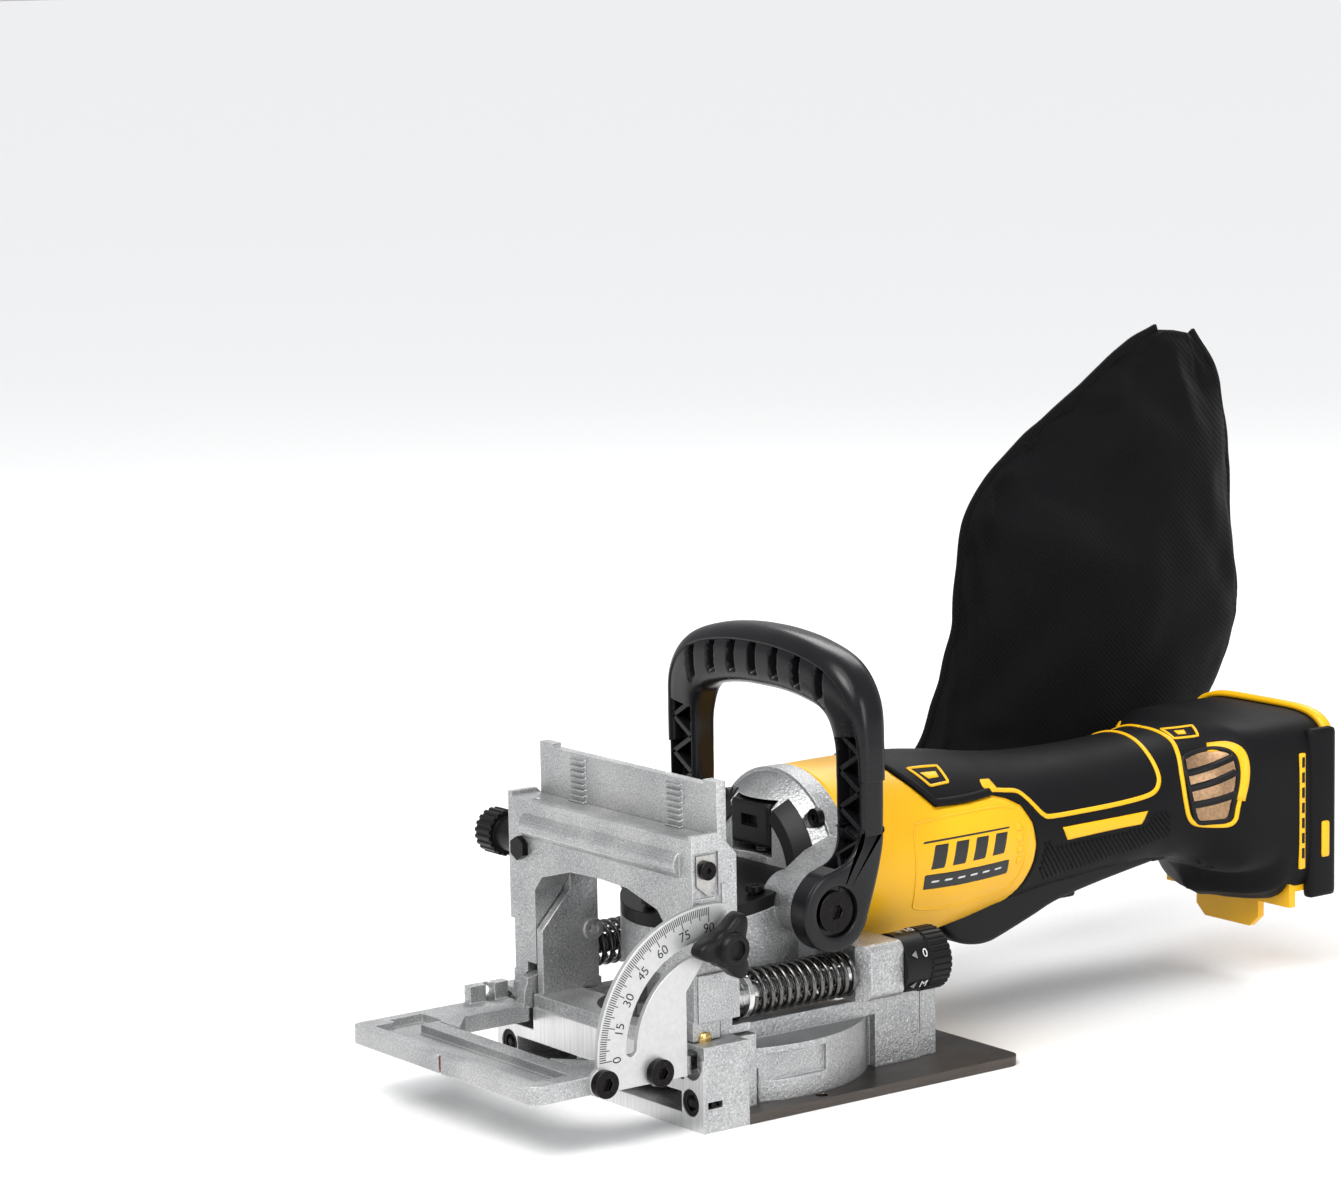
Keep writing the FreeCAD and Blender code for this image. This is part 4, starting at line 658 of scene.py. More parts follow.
def make_grip_ribs():
    """Slanting ribs on the lower side of the grip."""
    ribs = bmesh.new()
    zone = [(193.5, -2.0), (200.0, -9.5), (246.5, -9.0), (251.0, 4.0), (259.5, 4.0), (261.0, -24.0),
            (241.5, -34.0),
            (198.5, -42.0), (192.5, -24.0)]
    for k in range(42):
        start = 172.0 + 2.3 * k
        run = [(start + 0.8 * n, 8.0 - 1.9 * n) for n in range(30)]
        run = [spot for spot in run if within(*spot, zone)]
        if len(run) > 3:
            add_ribbon(ribs, run, 1.2, 0.5, smooth=False)
    new_piece("grip_ribs", ribs, "soft_grip", "drive")


def make_body_marks():
    """The ridge round the side panel, and plain bars, dashes and frames where there would be lettering."""
    panel = bmesh.new()
    add_ribbon(panel, [(125.0, 24.0), (150.0, 26.0), (174.0, 26.5), (180.5, 19.0), (182.4, 6.0),
                       (182.4, -14.0),
                       (180.0, -30.0), (174.0, -38.0), (150.0, -35.0), (127.0, -30.0), (123.0, -20.0),
                       (122.5, 14.0)],
               1.0, 0.28, closed=True)
    for turn in (11.0, 3.0, -5.0, -13.0):
        add_patch(panel, [(177.4, turn - 2.6), (177.4, turn + 2.6), (180.6, turn + 2.2), (180.6, turn - 2.2)],
                  -0.2, 0.45, 0.6)
    new_piece("panel_ridge", panel, "yellow_plastic", "drive")

    label = bmesh.new()
    for k in range(4):
        y = 129.5 + 11.0 * k
        add_patch(label, [(y, -4.6), (y + 2.6, 9.6), (y + 9.6, 9.4), (y + 7.0, -4.9)], -0.2, 0.07, 0.6)
    add_patch(label, [(126.5, 11.2), (126.5, 12.6), (173.5, 12.6), (173.5, 11.2)], -0.2, 0.07, 0.6)
    add_patch(label, [(126.5, -7.2), (126.5, -16.6), (173.0, -21.0), (173.0, -10.2)], -0.2, 0.07, 0.6)
    new_piece("side_label", label, "black_plastic", "drive", "ink_black")
    dashes = bmesh.new()
    for k in range(6):
        y = 130.0 + 6.9 * k
        add_patch(dashes, [(y, -13.0 - 0.45 * k), (y, -11.4 - 0.45 * k), (y + 4.4, -11.8 - 0.45 * k),
                           (y + 4.4, -13.4 - 0.45 * k)], -0.1, 0.12, 0.6)
    new_piece("label_dashes", dashes, "black_plastic", "drive", "ink_white")

    frames = bmesh.new()
    add_ribbon(frames, [(134.5, 62.0), (149.5, 62.0), (149.0, 47.5), (139.0, 46.0)], 1.2, 0.5, smooth=False,
               closed=True)
    add_patch(frames, [(138.5, 57.0), (146.5, 57.0), (146.0, 52.0), (140.5, 51.5)], -0.2, 0.3, 0.6)
    add_ribbon(frames, [(274.0, 79.0), (284.6, 75.0), (282.0, 60.0), (273.2, 62.5)], 1.1, 0.5, mirrored=False,
               smooth=False, closed=True)
    add_patch(frames, [(277.0, 73.0), (280.6, 71.6), (279.4, 65.6),
                       (276.6, 66.8)], -0.2, 0.3, 0.6, mirrored=False)
    new_piece("framed_marks", frames, "yellow_plastic", "drive")


def make_vents():
    """The framed air vents with their slanting bars over a brown screen."""
    frame_form, mesh_form = bmesh.new(), bmesh.new()
    add_ribbon(frame_form, VENT_FRAME, 2.0, 0.8, closed=True)
    for k in range(3):
        turn = 29.0 - 12.0 * k
        add_ribbon(frame_form, [(269.0, turn - 1.5), (288.2 - 0.6 * k, turn)], 2.9, 0.75, smooth=False)
    new_piece("vent_frame", frame_form, "black_plastic", "drive")
    add_patch(mesh_form, VENT_FRAME, -0.3, 0.25, 0.6)
    vents = new_piece("vent_screen", mesh_form, "filter_mesh", "drive")
    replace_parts(vents, "vent_mesh")


def make_foot_trim():
    """The battery foot's yellow lip, and its side plates with a yellow slit and button."""
    lip = bmesh.new()
    rows = []
    for turn in range(28, 153, 4):
        spread = []
        for y, out in ((335.2, -0.8), (335.5, 0.9), (338.8, 1.2), (340.4, 0.6), (340.4, -1.5)):
            spot = on_body(min(y, 339.9), turn, out)
            spread.append(at(spot.x, y, spot.z + 1.2))
        rows.append(spread)
    add_skin(lip, rows)
    new_piece("foot_lip", lip, "yellow_plastic", "drive")

    plates, slits, marks = bmesh.new(), bmesh.new(), bmesh.new()
    add_pair(plates, (35.6, 325.6, 33.5), (40.8, 339.9, 103.0), 2.2)
    add_pair(slits, (39.0, 319.8, 46.5), (40.5, 323.0, 94.0), 0.7)
    add_pair(slits, (39.0, 331.4, 50.0), (41.7, 335.6, 65.0), 1.2)
    for k in range(7):
        z = 51.0 + 6.2 * k
        add_pair(marks, (40.3, 320.7, z), (40.8, 322.1, z + 4.2), 0.2)
    new_piece("foot_plates", plates, "soft_grip", "drive")
    new_piece("foot_slits", slits, "yellow_plastic", "drive")
    new_piece("slit_segments", marks, "black_plastic", "drive")


# ---------------------------------------------------------------- the D-handle
GRIP_Y = 84.0
BOW_STEPS = 30
BOW_AROUND = 96
# across, height, half thickness in the bow's plane, half depth, squareness
BOW = [
    (51.3, 96.0, 8.2, 5.5, 5.0), (51.2, 106.0, 8.5, 5.6, 5.0), (51.2, 116.0, 8.6, 5.6, 5.0),
    (50.8, 130.0, 8.8, 6.2, 4.2), (47.8, 142.0, 10.0, 8.2, 3.0), (40.0, 149.6, 10.8, 9.6, 2.6),
    (27.0, 153.4, 11.2, 10.0, 2.5), (13.0, 155.2, 11.3, 10.2, 2.5), (0.0, 155.6, 11.4, 10.2, 2.5),
]


def out_of_bow(line, k):
    """The direction away from the bow's middle at one point of its line, square to the line."""
    along = (line[min(k + 1, len(line) - 1)] - line[max(k - 1, 0)]).normalized()
    out = Vector((along.y, -along.x, 0))
    return -out if out.dot(line[k] - Vector((0, 110, 0))) < 0 else out


def make_bow(line, sizes):
    """The bow, hollow in front down its legs and grooved in front along its grip."""
    grooves = [-39.0 + 13.0 * k for k in range(7)]
    form = bmesh.new()
    rows = []
    for k, (spot, size) in enumerate(zip(line, sizes)):
        out = out_of_bow(line, k)
        row = []
        for n in range(BOW_AROUND):
            turn = 2 * math.pi * n / BOW_AROUND
            c, s = math.cos(turn), math.sin(turn)
            a = math.copysign(abs(c) ** (2 / size.z), c) * size.x
            b = math.copysign(abs(s) ** (2 / size.z), s) * size.y
            flat = spot + out * a
            y = GRIP_Y + b
            near = min(abs(flat.x - g) for g in grooves)
            if b < -0.5 * size.y and near < 2.6 and spot.y > 138 and -6.5 < a < 7.0:
                shoulder = min(1.0, (2.6 - near) / 1.2) * min(1.0, (7.0 - a) / 2.4, (a + 6.5) / 2.4)
                y += 4.6 * shoulder
            if spot.y < 132 and b < -0.6 * size.y and abs(a) < 6.4:
                shoulder = min(1.0, (6.4 - abs(a)) / 0.7) * min(1.0, max(0.0, (132 - spot.y) / 1.5))
                y += 5.6 * shoulder
            row.append(at(flat.x, y, flat.y))
        rows.append(row)
    add_skin(form, rows)
    handle = new_piece("handle_bow", form, "gloss_black", "drive")
    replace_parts(sharpen(handle, 38), "d_handle")


def make_strap(line, sizes):
    """The softer outer skin over the bow, slightly proud of it."""
    strap = bmesh.new()
    rows = []
    for k in range(2 * BOW_STEPS, len(line) - 2 * BOW_STEPS):
        spot, size = line[k], sizes[k]
        out = out_of_bow(line, k)
        row = []
        outside = [(degrees, 0.7, 0.0, 0.5) for degrees in range(-62, 63, 4)]
        for degrees, rounded, flat_out, deeper in outside + [(62, 0.0, -1.0, -1.5), (-62, 0.0, -1.0, -1.5)]:
            c, s = math.cos(math.radians(degrees)), math.sin(math.radians(degrees))
            flat = spot + out * (abs(c) ** (2 / size.z) * size.x + rounded * abs(c) + flat_out)
            row.append(at(flat.x, GRIP_Y + math.copysign(abs(s) ** (2 / size.z), s) * (size.y + deeper), flat.y))
        rows.append(row)
    add_skin(strap, rows)
    new_piece("handle_strap", strap, "gloss_black", "drive")


def make_trusses():
    """The zigzag webs in the hollow front of each leg."""
    trusses = bmesh.new()
    for side in (1, -1):
        for k in range(5):
            z = 98.0 + 7.0 * k
            ends = ((45.0, z), (57.0, z + 7.0)) if k % 2 else ((57.0, z), (45.0, z + 7.0))
            (x0, z0), (x1, z1) = ends
            along = Vector((x1 - x0, 0, z1 - z0)).normalized()
            across = Vector((-along.z, 0, along.x)) * 0.9
            rows = []
            for x, z in ((x0, z0), (x1, z1)):
                rows.append([at(side * (x + across.x * a), y, z + across.z * a)
                             for a, y in ((-1, GRIP_Y - 4.7), (1, GRIP_Y - 4.7), (1, GRIP_Y), (-1, GRIP_Y))])
            add_skin(trusses, rows)
    new_piece("handle_trusses", trusses, "gloss_black", "drive", smooth=False)


BOSS = (66.5, 70.0)
BOSS_R = 15.0
BOSS_FACE = 59.2
LEG_FRONT = [(78.3, 99.0), (77.9, 95.0), (75.6, 90.6), (71.0, 87.0), (64.4, 84.9)]
LEG_REAR = [(80.9, 66.0), (84.4, 76.0), (87.4, 86.0), (88.9, 93.0), (89.2, 99.0)]


def leg_inside(z):
    """Where the leg's inner face is across the tool: the leg thins towards its boss."""
    return 49.4 - 6.2 * eased((z - 80.0) / 18.0)


def add_leg(form, side):
    """The lower part of a leg: hollow in front like the bow, widening into a round boss with a sunk bolt."""
    front = curve_through([Vector((y, z, 0)) for y, z in LEG_FRONT], 8)
    rear = curve_through([Vector((y, z, 0)) for y, z in LEG_REAR], 8)
    arc = []
    for k in range(1, 40):
        turn = math.radians(100.0 + (344.5 - 100.0) * k / 40)
        arc.append(Vector((BOSS[0] + BOSS_R * math.cos(turn), BOSS[1] + BOSS_R * math.sin(turn), 0)))
    ring = front + arc + rear
    shape = []
    for k, spot in enumerate(ring):
        along = ring[(k + 1) % len(ring)] - ring[k - 1]
        inward = Vector((-along.y, along.x, 0)).normalized()
        toward = Vector((spot.x - BOSS[0], spot.y - BOSS[1], 0)).normalized()
        hollow = min(1.0, max(0.0, (len(front) - 4 - k) / 3.0)) if k < len(front) else 0.0
        shape.append((spot, inward, toward, hollow))
    rows = []
    for share, inset, deep in ((0.0, 1.2, 0), (0.12, 0.0, 0), (0.16, 0.0, 0), (0.20, 0.0, 4.6),
                               (0.80, 0.0, 4.6),
                               (0.84, 0.0, 0), (0.92, 0.0, 0), (0.97, 0.5, 0), (1.0, 1.6, 0)):
        row = []
        for spot, inward, _, hollow in shape:
            x = leg_inside(spot.y) + (BOSS_FACE - leg_inside(spot.y)) * share
            pull = inset + deep * hollow
            row.append(at(side * x, spot.x + inward.x * pull, spot.y + inward.y * pull))
        rows.append(row)
    for x, radius in ((BOSS_FACE, 10.6), (58.9, 9.6), (56.2, 9.2), (56.2, 1.0)):
        rows.append([at(side * x, BOSS[0] + t.x * radius, BOSS[1] + t.y * radius) for _, _, t, _ in shape])
    add_skin(form, rows)
    spots = [shape[k] for k in (0, 9, 18, 26)]
    for k, (low, high) in enumerate(zip(spots, spots[1:])):
        ends = []
        for n, (spot, inward, _, _) in enumerate((low, high)):
            inside = leg_inside(spot.y)
            share = 0.80 if (k + n) % 2 else 0.20
            ends.append((inside + (BOSS_FACE - inside) * share, spot, inward))
        loops = []
        for x, spot, inward in ends:
            loops.append([at(side * (x + a), spot.x + inward.x * deep, spot.y + inward.y * deep)
                          for a, deep in ((-1.0, 1.0), (1.0, 1.0), (1.0, 5.0), (-1.0, 5.0))])
        add_skin(form, loops)


def make_handle():
    """The D-handle: its bow and strap, the legs that carry it, and their webs."""
    right = [Vector((x, z, 0)) for x, z, *_ in BOW]
    shape = [Vector((a, b, c)) for *_, a, b, c in BOW]
    left = [Vector((-p.x, p.y, 0)) for p in reversed(right[:-1])]
    line = curve_through(right + left, BOW_STEPS)
    sizes = curve_through(shape + list(reversed(shape[:-1])), BOW_STEPS)
    make_bow(line, sizes)
    legs = bmesh.new()
    for side in (1, -1):
        add_leg(legs, side)
    sharpen(new_piece("handle_legs", legs, "gloss_black", "drive"), 38)
    make_strap(line, sizes)
    make_trusses()


# ---------------------------------------------------------------- paddle, knob and small parts
# station and height along the paddle's underside, and along its upper edge
PADDLE_LOW = [(154.5, 43.4), (158.5, 38.4), (164.0, 35.2), (171.0, 33.5), (178.0, 33.3), (184.5, 34.9),
              (200.0, 40.0), (215.0, 45.0), (240.0, 49.6), (263.6, 53.4)]
PADDLE_TOP = [(154.5, 46.0), (160.0, 49.5), (185.0, 51.0), (200.0, 52.5), (215.0, 53.6), (240.0, 56.0),
              (264.0, 57.6)]


def make_paddle():
    """The thick switch paddle, its lock-off tab and the cover of its hinge."""
    low = curve_through([Vector((y, z, 0)) for y, z in PADDLE_LOW], 6)
    form = bmesh.new()
    rows = []
    for spot in low:
        y, z = spot.x, spot.y
        top = next(t0 + (t1 - t0) * (y - y0) / (y1 - y0)
                   for (y0, t0), (y1, t1) in zip(PADDLE_TOP, PADDLE_TOP[1:]) if y <= y1)
        wide = 14.2 - 3.0 * max(0.0, (162.0 - y) / 7.5) ** 2
        thin = wide - 2.0
        floor = min(z + 4.6, top - 0.4)
        edge = min(3.0, (top - z) * 0.45)
        outline = [(wide, top), (wide, z + edge)]
        for k in range(1, 6):
            turn = math.radians(90.0 * k / 6)
            outline.append((wide - edge + edge * math.cos(turn), z + edge - edge * math.sin(turn)))
        outline.append((wide - edge, z))
        outline = outline + [(-x, h) for x, h in reversed(outline)]
        outline += [(-thin, top), (-thin, floor), (thin, floor), (thin, top)]
        rows.append([at(x, y, h) for x, h in outline])
    add_skin(form, rows)
    paddle = new_piece("trigger_paddle", form, "black_plastic", "switch_paddle")
    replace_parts(sharpen(paddle, 42), "paddle")

    tab = bmesh.new()
    add_block(tab, (-4.8, 221.0, 42.6), (4.8, 231.0, 49.5), 1.6)
    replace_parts(new_piece("lock_off_tab", tab, "black_plastic", "lock_off"), "lock_off_lever", "lock_off_pin")
    cover = bmesh.new()
    add_block(cover, (-13.0, 264.5, 53.0), (13.0, 271.6, 59.0), 1.2)
    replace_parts(new_piece("hinge_cover", cover, "black_plastic", "drive"), "paddle_bracket", "paddle_pin")


KNOB_CENTRE = (9.0, 67.41)
KNOB_AROUND = 96


def make_lock_knob():
    """The three-lobed knob that clamps the angle scale."""
    form = bmesh.new()
    rows = [ring(x, KNOB_CENTRE, radius, KNOB_AROUND) for x, radius in ((61.5, 4.8), (63.8, 5.04))]
    third = 2 * math.pi / 3
    for x, scale in ((64.2, 0.93), (64.9, 1.0), (69.4, 1.0), (70.6, 0.96), (71.3, 0.86), (71.5, 0.60)):
        row = []
        for k in range(KNOB_AROUND):
            turn = 2 * math.pi * k / KNOB_AROUND
            lobe = max(0.0, math.cos(1.5 * (turn % third - third / 2)))
            radius = (7.4 + 6.0 * lobe ** 5) * scale
            row.append(at(x, KNOB_CENTRE[0] + radius * math.cos(turn), KNOB_CENTRE[1] + radius * math.sin(turn)))
        rows.append(row)
    for x, radius in ((71.5, 6.2), (74.0, 5.8), (74.6, 5.2), (74.6, 3.6), (73.0, 3.4), (73.0, 1.0)):
        rows.append(ring(x, KNOB_CENTRE, radius, KNOB_AROUND))
    add_skin(form, rows)
    knob = new_piece("lock_wing_knob", form, "black_plastic", "angle_lock")
    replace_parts(sharpen(knob, 45), "angle_lock_knob")


def make_ring_shroud():
    """The black cover's collar inside the aluminium ring, in two halves beside the lock button."""
    section = ((72.4, 22.0), (72.7, 27.4), (78.6, 32.0), (79.2, 31.4), (76.0, 25.0))
    form = bmesh.new()
    for side in (1, -1):
        rows = []
        for k in range(25):
            turn = math.radians(29.0 + 4.0 * k)
            x, z = side * math.sin(turn), math.cos(turn)
            rows.append([at(x * radius, y, 76.0 + z * radius) for y, radius in section])
        add_skin(form, rows)
    sharpen(new_piece("ring_shroud", form, "black_plastic", "drive"), 35)


def make_pin_end():
    """The brass end of the fence's hinge pin, level with the carriage's cheek."""
    form = bmesh.new()
    add_skin(form, [ring(x, PIVOT, radius, 32) for x, radius in ((53.0, 2.7), (58.3, 2.7), (58.7, 2.3))])
    new_piece("hinge_pin_end", form, "bright_steel", "carriage", "terminal_brass")


make_core()
make_shells()
make_piping()
make_grip_ribs()
make_body_marks()
make_vents()
make_foot_trim()
make_handle()
make_paddle()
make_lock_knob()
make_ring_shroud()
make_pin_end()


# ---------------------------------------------------------------- the dust bag
# chords across the bag: front upper end, rear lower end, centre across, half thickness
BAG = [
    ((140.4, 77.1), (157.6, 47.3), -60.0, 17.2), ((153.9, 85.2), (171.4, 54.9), -60.0, 17.5),
    ((178.0, 88.0), (205.0, 52.0), -62.0, 19.0), ((206.0, 92.0), (250.0, 56.0), -65.0, 20.5),
    ((222.0, 116.0), (300.0, 64.0), -68.0, 22.5), ((231.5, 138.0), (348.0, 84.0), -70.0, 24.0),
    ((237.0, 166.0), (378.0, 106.0), -71.0, 25.0), ((243.0, 189.0), (387.0, 140.0), -71.0, 24.0),
    ((262.5, 208.5), (387.5, 172.0), -72.0, 21.0), ((298.0, 230.0), (385.5, 208.0), -73.0, 16.0),
    ((329.0, 249.0), (381.0, 236.0), -74.0, 9.0), ((349.0, 256.5), (369.0, 254.0), -75.0, 3.5),
]
AROUND = 72
SEAMS = (AROUND // 4, 3 * AROUND // 4)
BAG_STEPS = 5  # loops between two chords, and the loops that the collar holds
PLUMP = 0.88
FOLDS = [
    # a crease's two ends on the outer side, its depth and its half width, in millimetres
    ((256.0, 196.0), (243.0, 150.0), 7.5, 4.2), ((262.0, 196.0), (300.0, 184.0), 2.6, 6.0),
    ((338.0, 236.0), (312.0, 222.0), 2.6, 3.0), ((236.0, 108.0), (290.0, 158.0), 2.4, 7.0),
    ((300.0, 96.0), (356.0, 150.0), 2.2, 8.0), ((376.0, 140.0), (352.0, 176.0), 3.0, 5.0),
    ((384.0, 128.0), (366.0, 118.0), 3.4, 4.0), ((320.0, 200.0), (372.0, 232.0), 2.0, 7.0),
    ((232.0, 96.0), (262.0, 92.0), 2.4, 5.0), ((286.0, 214.0), (330.0, 176.0), 1.8, 8.0),
]


def bag_rings():
    """Loops of points up the bag, in millimetres, a little slack beyond the collar."""
    front = curve_through([(f[0], f[1], x) for f, _, x, _ in BAG], BAG_STEPS)
    rear = curve_through([(r[0], r[1], h) for _, r, _, h in BAG], BAG_STEPS)
    rings = []
    for k, (a, b) in enumerate(zip(front, rear)):
        soft = PLUMP if k > BAG_STEPS else 1.0
        loop = []
        for n in range(AROUND):
            turn = 2 * math.pi * n / AROUND
            c, s = math.cos(turn), math.sin(turn)
            loop.append(Vector((a.z + b.z * soft * c, (a.x + b.x) / 2 + (a.x - b.x) / 2 * s,
                                (a.y + b.y) / 2 + (a.y - b.y) / 2 * s)))
        rings.append(loop)
    return rings


def crease(y, z):
    """How far the folds draw the cloth in at a point of the side view."""
    total = 0.0
    for (y0, z0), (y1, z1), depth, width in FOLDS:
        share = ((y - y0) * (y1 - y0) + (z - z0) * (z1 - z0)) / ((y1 - y0) ** 2 + (z1 - z0) ** 2)
        share = min(1.0, max(0.0, share))
        gap = math.hypot(y - y0 - share * (y1 - y0), z - z0 - share * (z1 - z0))
        fullness = 0.55 + 0.45 * math.sin(math.pi * min(1.0, share + 0.25))
        total += depth * math.exp(-(gap / width) ** 2) * fullness
    return total


SETTLE_FRAMES = 24
SETTLE_LIMIT = 7.0 * MM


def inflate(piece, held):
    """Lets slack cloth settle under a little pressure, and keeps what it becomes."""
    start = [vert.co.copy() for vert in piece.data.vertices]
    piece.vertex_groups.new(name="held").add(held, 1.0, "REPLACE")
    cloth = piece.modifiers.new("cloth", "CLOTH")
    settings = cloth.settings
    settings.quality = 6
    settings.mass = 0.12
    settings.tension_stiffness = settings.compression_stiffness = 12.0
    settings.shear_stiffness = 4.0
    settings.bending_stiffness = 0.15
    settings.use_pressure = True
    settings.uniform_pressure_force = 1.4
    settings.shrink_min = -0.04
    settings.vertex_group_mass = "held"
    settings.pin_stiffness = 2.0
    settings.effector_weights.gravity = 0.15
    cloth.point_cache.frame_start, cloth.point_cache.frame_end = 1, SETTLE_FRAMES
    scene = bpy.context.scene
    for frame_number in range(1, SETTLE_FRAMES + 1):
        scene.frame_set(frame_number)
    settled = bpy.data.meshes.new_from_object(piece.evaluated_get(bpy.context.evaluated_depsgraph_get()))
    places = [vert.co.copy() for vert in settled.vertices]
    piece.modifiers.clear()
    scene.frame_set(1)
    for vert, place, origin in zip(piece.data.vertices, places, start):
        step = place - origin
        vert.co = origin + (step if step.length < SETTLE_LIMIT else step.normalized() * SETTLE_LIMIT)
    bpy.data.meshes.remove(settled)


def rumple_bag(bag):
    """Creases, dents and an uneven edge, fading out towards the collar."""
    for index, vert in enumerate(bag.data.vertices):
        loop, n = divmod(index, AROUND)
        y, z = vert.co.y / MM + HALF_LENGTH, vert.co.z / MM
        facing = math.cos(2 * math.pi * n / AROUND)
        fade = min(1.0, max(0.0, (loop - BAG_STEPS) / 10.0))
        rumple = noise.fractal(Vector((vert.co.x * 12, y * 0.022, z * 0.022)), 0.9, 2.1, 3)
        fine = noise.noise(Vector((vert.co.x * 30 + 4, y * 0.07, z * 0.05)))
        shift = (2.6 * rumple + 0.9 * fine) * abs(facing) ** 0.5
        if facing > 0:
            shift -= crease(y, z) * min(1.0, facing * 1.6)
        else:
            shift -= crease(y + 18.0, z - 10.0) * min(1.0, -facing * 1.6)
        vert.co.x += math.copysign(1.0, facing) * shift * fade * MM
        ripple = noise.noise(Vector((3.0, y * 0.06, z * 0.06))) * (1.0 - abs(facing)) * fade
        vert.co.y += ripple * 1.6 * MM


def add_seam(form, line, turned):
    """A stitched edge along a line of points; turned is 1 or -1, for the way it faces."""
    across, width, rise = Vector((1, 0, 0)), 0.8 * MM, 1.6 * MM
    spots = curve_through(line, 3)
    rows = []
    for k, spot in enumerate(spots):
        along = (spots[min(k + 1, len(spots) - 1)] - spots[max(k - 1, 0)]).normalized()
        out = along.cross(across).normalized() * turned
        rows.append([spot + across * a * width + out * b * rise
                     for a, b in ((-1, -1.2), (-1, 0.4), (-0.5, 0.9), (0.5, 0.9), (1, 0.4), (1, -1.2))])
    add_skin(form, rows)


def make_bag():
    """The cloth bag with its stitched edges, and the band that closes it on the collar."""
    form = bmesh.new()
    rings = bag_rings()
    add_skin(form, [[at(*p) for p in loop] for loop in rings])
    bag = new_piece("dust_bag_cloth", form, "bag_fabric", "bag")
    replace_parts(bag, "dust_bag")
    bag.parent = None
    last = len(rings) - 1
    held = [k * AROUND + n for k in range(last + 1) for n in range(AROUND)
            if k <= BAG_STEPS or k == last or n in SEAMS]
    inflate(bag, held)
    rumple_bag(bag)
    seam_form = bmesh.new()
    for column, turned in zip(SEAMS, (1, -1)):
        line = [bag.data.vertices[k * AROUND + column].co.copy() for k in range(BAG_STEPS, last + 1)]
        add_seam(seam_form, line, turned)
    seam = new_piece("bag_seam", seam_form, "bag_fabric", "bag")
    finer = bag.modifiers.new("finer", "SUBSURF")
    finer.levels = finer.render_levels = 1
    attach(bag, "bag")
    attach(seam, "bag")
    band = bmesh.new()
    lean = Vector((0, math.cos(math.radians(30)), 0.5))
    up = Vector((0, -0.5, math.cos(math.radians(30))))
    across = Vector((1, 0, 0))
    rows = []
    for start, radius in ((11.0, 18.0), (11.4, 19.0), (12.5, 19.3), (17.5, 19.3), (18.6, 19.0), (19.0, 18.0)):
        centre = Vector((-60.0, 128.0, 50.0)) + lean * start
        rows.append([at(*(centre + across * radius * math.cos(0.1 * n) + up * radius * math.sin(0.1 * n)))
                     for n in range(63)])
    add_skin(band, rows)
    new_piece("bag_band", band, "black_plastic", "bag")


# ---------------------------------------------------------------- markings
PLATE_FACE = 61.2
TICK_R = 48.7
NUMBER_R = 41.0
TURRET_R = 12.0


def add_mark(form, corners, face, depth=0.06):
    """A printed shape on a flat face that looks towards +X: corners are (y, z)."""
    rows = [[at(face + x, y, z) for y, z in corners] for x in (-0.02, depth)]
    add_skin(form, rows)


def add_words(form, words, size, place, right, up):
    """Solid lettering in a bmesh: place is its centre, in millimetres."""
    curve = bpy.data.curves.new("words", "FONT")
    curve.body = words
    curve.size = size * MM
    curve.extrude = 0.04 * MM
    curve.align_x, curve.align_y = "CENTER", "CENTER"
    holder = bpy.data.objects.new("words", curve)
    bpy.context.collection.objects.link(holder)
    bpy.context.view_layer.update()
    mesh = bpy.data.meshes.new_from_object(holder.evaluated_get(bpy.context.evaluated_depsgraph_get()))
    out = right.cross(up)
    turn = Matrix((right, up, out)).transposed().to_4x4()
    mesh.transform(Matrix.Translation(at(*place)) @ turn)
    form.from_mesh(mesh)
    bpy.data.objects.remove(holder)
    bpy.data.meshes.remove(mesh)
    bpy.data.curves.remove(curve)


def make_scale():
    """The angle scale's ticks and numbers, and the red index line on the fence."""
    ticks, numbers = bmesh.new(), bmesh.new()
    for degree in range(91):
        turn = math.radians(degree)
        out = Vector((-math.cos(turn), math.sin(turn)))
        along = Vector((out.y, -out.x)) * 0.17
        length = 5.4 if degree % 15 == 0 else 4.2 if degree % 5 == 0 else 2.8
        outer, inner = out * TICK_R, out * (TICK_R - length)
        corners = [outer - along, outer + along, inner + along, inner - along]
        add_mark(ticks, [(PIVOT[0] + c.x, PIVOT[1] + c.y) for c in corners], PLATE_FACE)
    for degree in range(0, 91, 15):
        turn = math.radians(degree)
        out = Vector((0, -math.cos(turn), math.sin(turn)))
        right = Vector((0, math.sin(turn), math.cos(turn)))
        place = Vector((PLATE_FACE, *PIVOT)) + out * NUMBER_R
        add_words(numbers, str(degree), 5.0, place, right, out)
    new_piece("scale_ticks", ticks, "scale_aluminium", "fence_arm", "ink_black", smooth=False)
    new_piece("scale_numbers", numbers, "scale_aluminium", "fence_arm", "ink_black", smooth=False)
    index = bmesh.new()
    add_block(index, (-0.55, -67.6, 21.5), (0.55, -67.2, 27.4), 0.08)
    new_piece("fence_index", index, "cast_aluminium", "fence_arm", "ink_red")


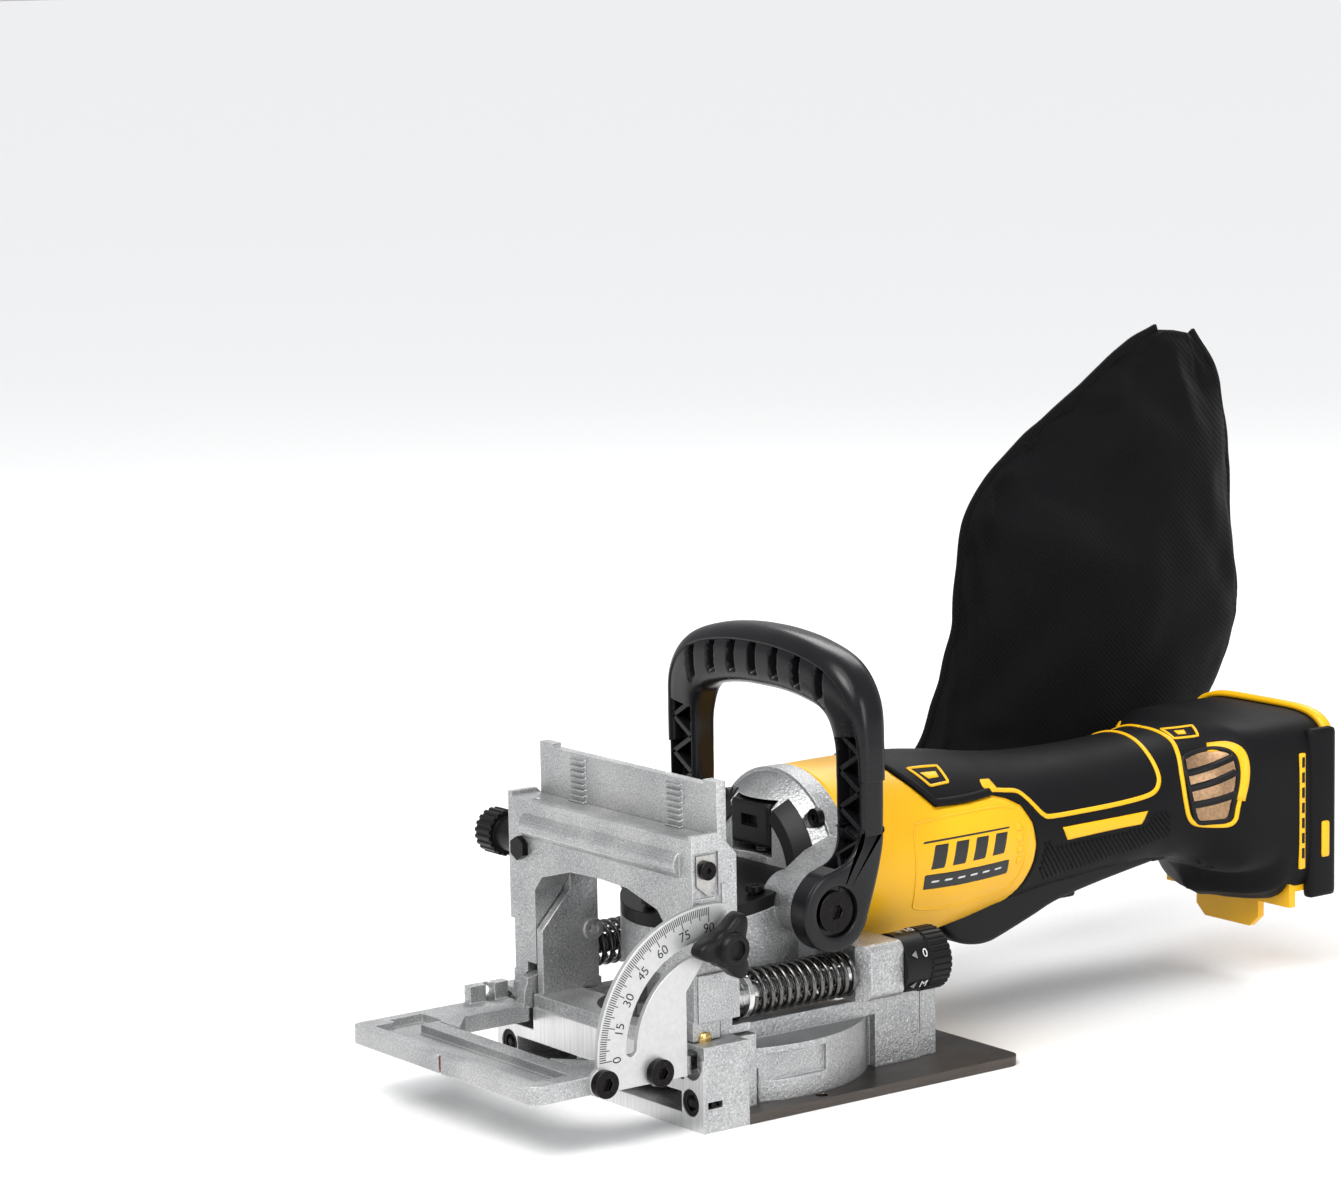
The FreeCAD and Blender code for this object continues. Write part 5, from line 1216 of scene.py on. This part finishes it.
def make_turret_marks():
    """The depth turret's numbers, each with an arrow that points to it."""
    marks, grey = bmesh.new(), bmesh.new()
    centre = Vector((49.5, 0, 44.0))
    for words, degrees in (("0", 24.0), ("10", 84.0), ("20", 144.0), ("M", -36.0)):
        turn = math.radians(degrees)
        out, up = Vector((math.cos(turn), 0, math.sin(turn))), Vector((-math.sin(turn), 0, math.cos(turn)))
        place = centre + out * (TURRET_R + 0.02) + Vector((0, 106.6, 0))
        add_words(marks, words, 4.6, place, Vector((0, 1, 0)), up)
        rows = []
        for depth in (-0.05, 0.06):
            spot = centre + out * (TURRET_R + depth)
            rows.append([at(*(spot + up * a + Vector((0, y, 0))))
                         for y, a in ((100.2, 0.0), (102.6, 1.5), (102.6, -1.5))])
        add_skin(grey, rows)
    new_piece("turret_numbers", marks, "black_plastic", "turret", "ink_white", smooth=False)
    new_piece("turret_arrows", grey, "black_plastic", "turret", "ink_grey", smooth=False)


make_bag()
make_scale()
make_turret_marks()


# ---------------------------------------------------------------- camera, floor and light
LENS = 113.3
CAMERA_PLACE = (1.2328, -0.9439, 0.4100)
CAMERA_LOOK = (53.68, 8.50, -1.08)  # azimuth, elevation and roll, in degrees
FLOOR_HALF = 80.0
WORLD_STRENGTH = 0.55


def look_from(azimuth, elevation, roll):
    """Rotation of a camera whose back vector has that azimuth and elevation, rolled about its axis."""
    a, e = math.radians(azimuth), math.radians(elevation)
    back = Vector((math.sin(a) * math.cos(e), -math.cos(a) * math.cos(e), math.sin(e)))
    turn = back.to_track_quat("Z", "Y").to_matrix()
    return turn @ Matrix.Rotation(math.radians(roll), 3, "Z")


def add_camera():
    lens = bpy.data.cameras.new("camera")
    lens.sensor_width = 36.0
    lens.lens = LENS
    lens.clip_start = 0.05
    camera = bpy.data.objects.new("camera", lens)
    camera.matrix_world = Matrix.Translation(CAMERA_PLACE) @ look_from(*CAMERA_LOOK).to_4x4()
    bpy.context.collection.objects.link(camera)
    bpy.context.scene.camera = camera


def add_light(name, place, aim, size, power, colour=(1, 1, 1)):
    lamp = bpy.data.lights.new(name, "AREA")
    lamp.shape = "RECTANGLE"
    lamp.size, lamp.size_y = size
    lamp.energy = power
    lamp.color = colour
    holder = bpy.data.objects.new(name, lamp)
    back = Vector(place) - Vector(aim)
    holder.matrix_world = Matrix.Translation(place) @ back.to_track_quat("Z", "Y").to_matrix().to_4x4()
    bpy.context.collection.objects.link(holder)


def add_sun(name, back, strength, spread):
    """A wide soft sun, so that the floor is equally bright out to its far edge."""
    lamp = bpy.data.lights.new(name, "SUN")
    lamp.energy = strength
    lamp.angle = math.radians(spread)
    holder = bpy.data.objects.new(name, lamp)
    holder.matrix_world = Vector(back).to_track_quat("Z", "Y").to_matrix().to_4x4()
    bpy.context.collection.objects.link(holder)


def add_floor():
    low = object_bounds()[0][2]
    form = bmesh.new()
    form.faces.new([form.verts.new((x * FLOOR_HALF, y * FLOOR_HALF, low))
                    for x, y in ((-1, -1), (1, -1), (1, 1), (-1, 1))])
    mesh = bpy.data.meshes.new("floor")
    form.to_mesh(mesh)
    form.free()
    floor = bpy.data.objects.new("floor", mesh)
    bpy.context.collection.objects.link(floor)
    shader = Shader("floor_paper")
    grain = shader.noise(400.0, 3.0)
    tone = shader.mix(shader.spread(grain, 0.3, 0.7), (0.86, 0.86, 0.86), (0.90, 0.90, 0.90))
    mesh.materials.append(shader.done(tone, 0.6, shader.bump(grain, 0.00002)))


def add_world():
    world = bpy.data.worlds.new("studio")
    world.use_nodes = True
    world.node_tree.nodes["Background"].inputs["Color"].default_value = (0.97, 0.98, 1.0, 1.0)
    world.node_tree.nodes["Background"].inputs["Strength"].default_value = WORLD_STRENGTH
    bpy.context.scene.world = world


add_camera()
add_floor()
add_world()
add_sun("sun", (0.35, -0.55, 1.0), 1.9, 50.0)
add_light("key", (0.5, -1.2, 1.6), (0, 0.05, 0.08), (0.8, 0.8), 18.0, (1.0, 0.99, 0.97))
add_light("fill", (1.6, 0.3, 0.6), (0, 0.05, 0.08), (0.5, 0.9), 8.0, (0.96, 0.98, 1.0))
add_light("rim", (-0.7, 1.0, 1.3), (0, 0.1, 0.1), (1.2, 0.6), 12.0)
bpy.context.scene.view_settings.view_transform = "Standard"
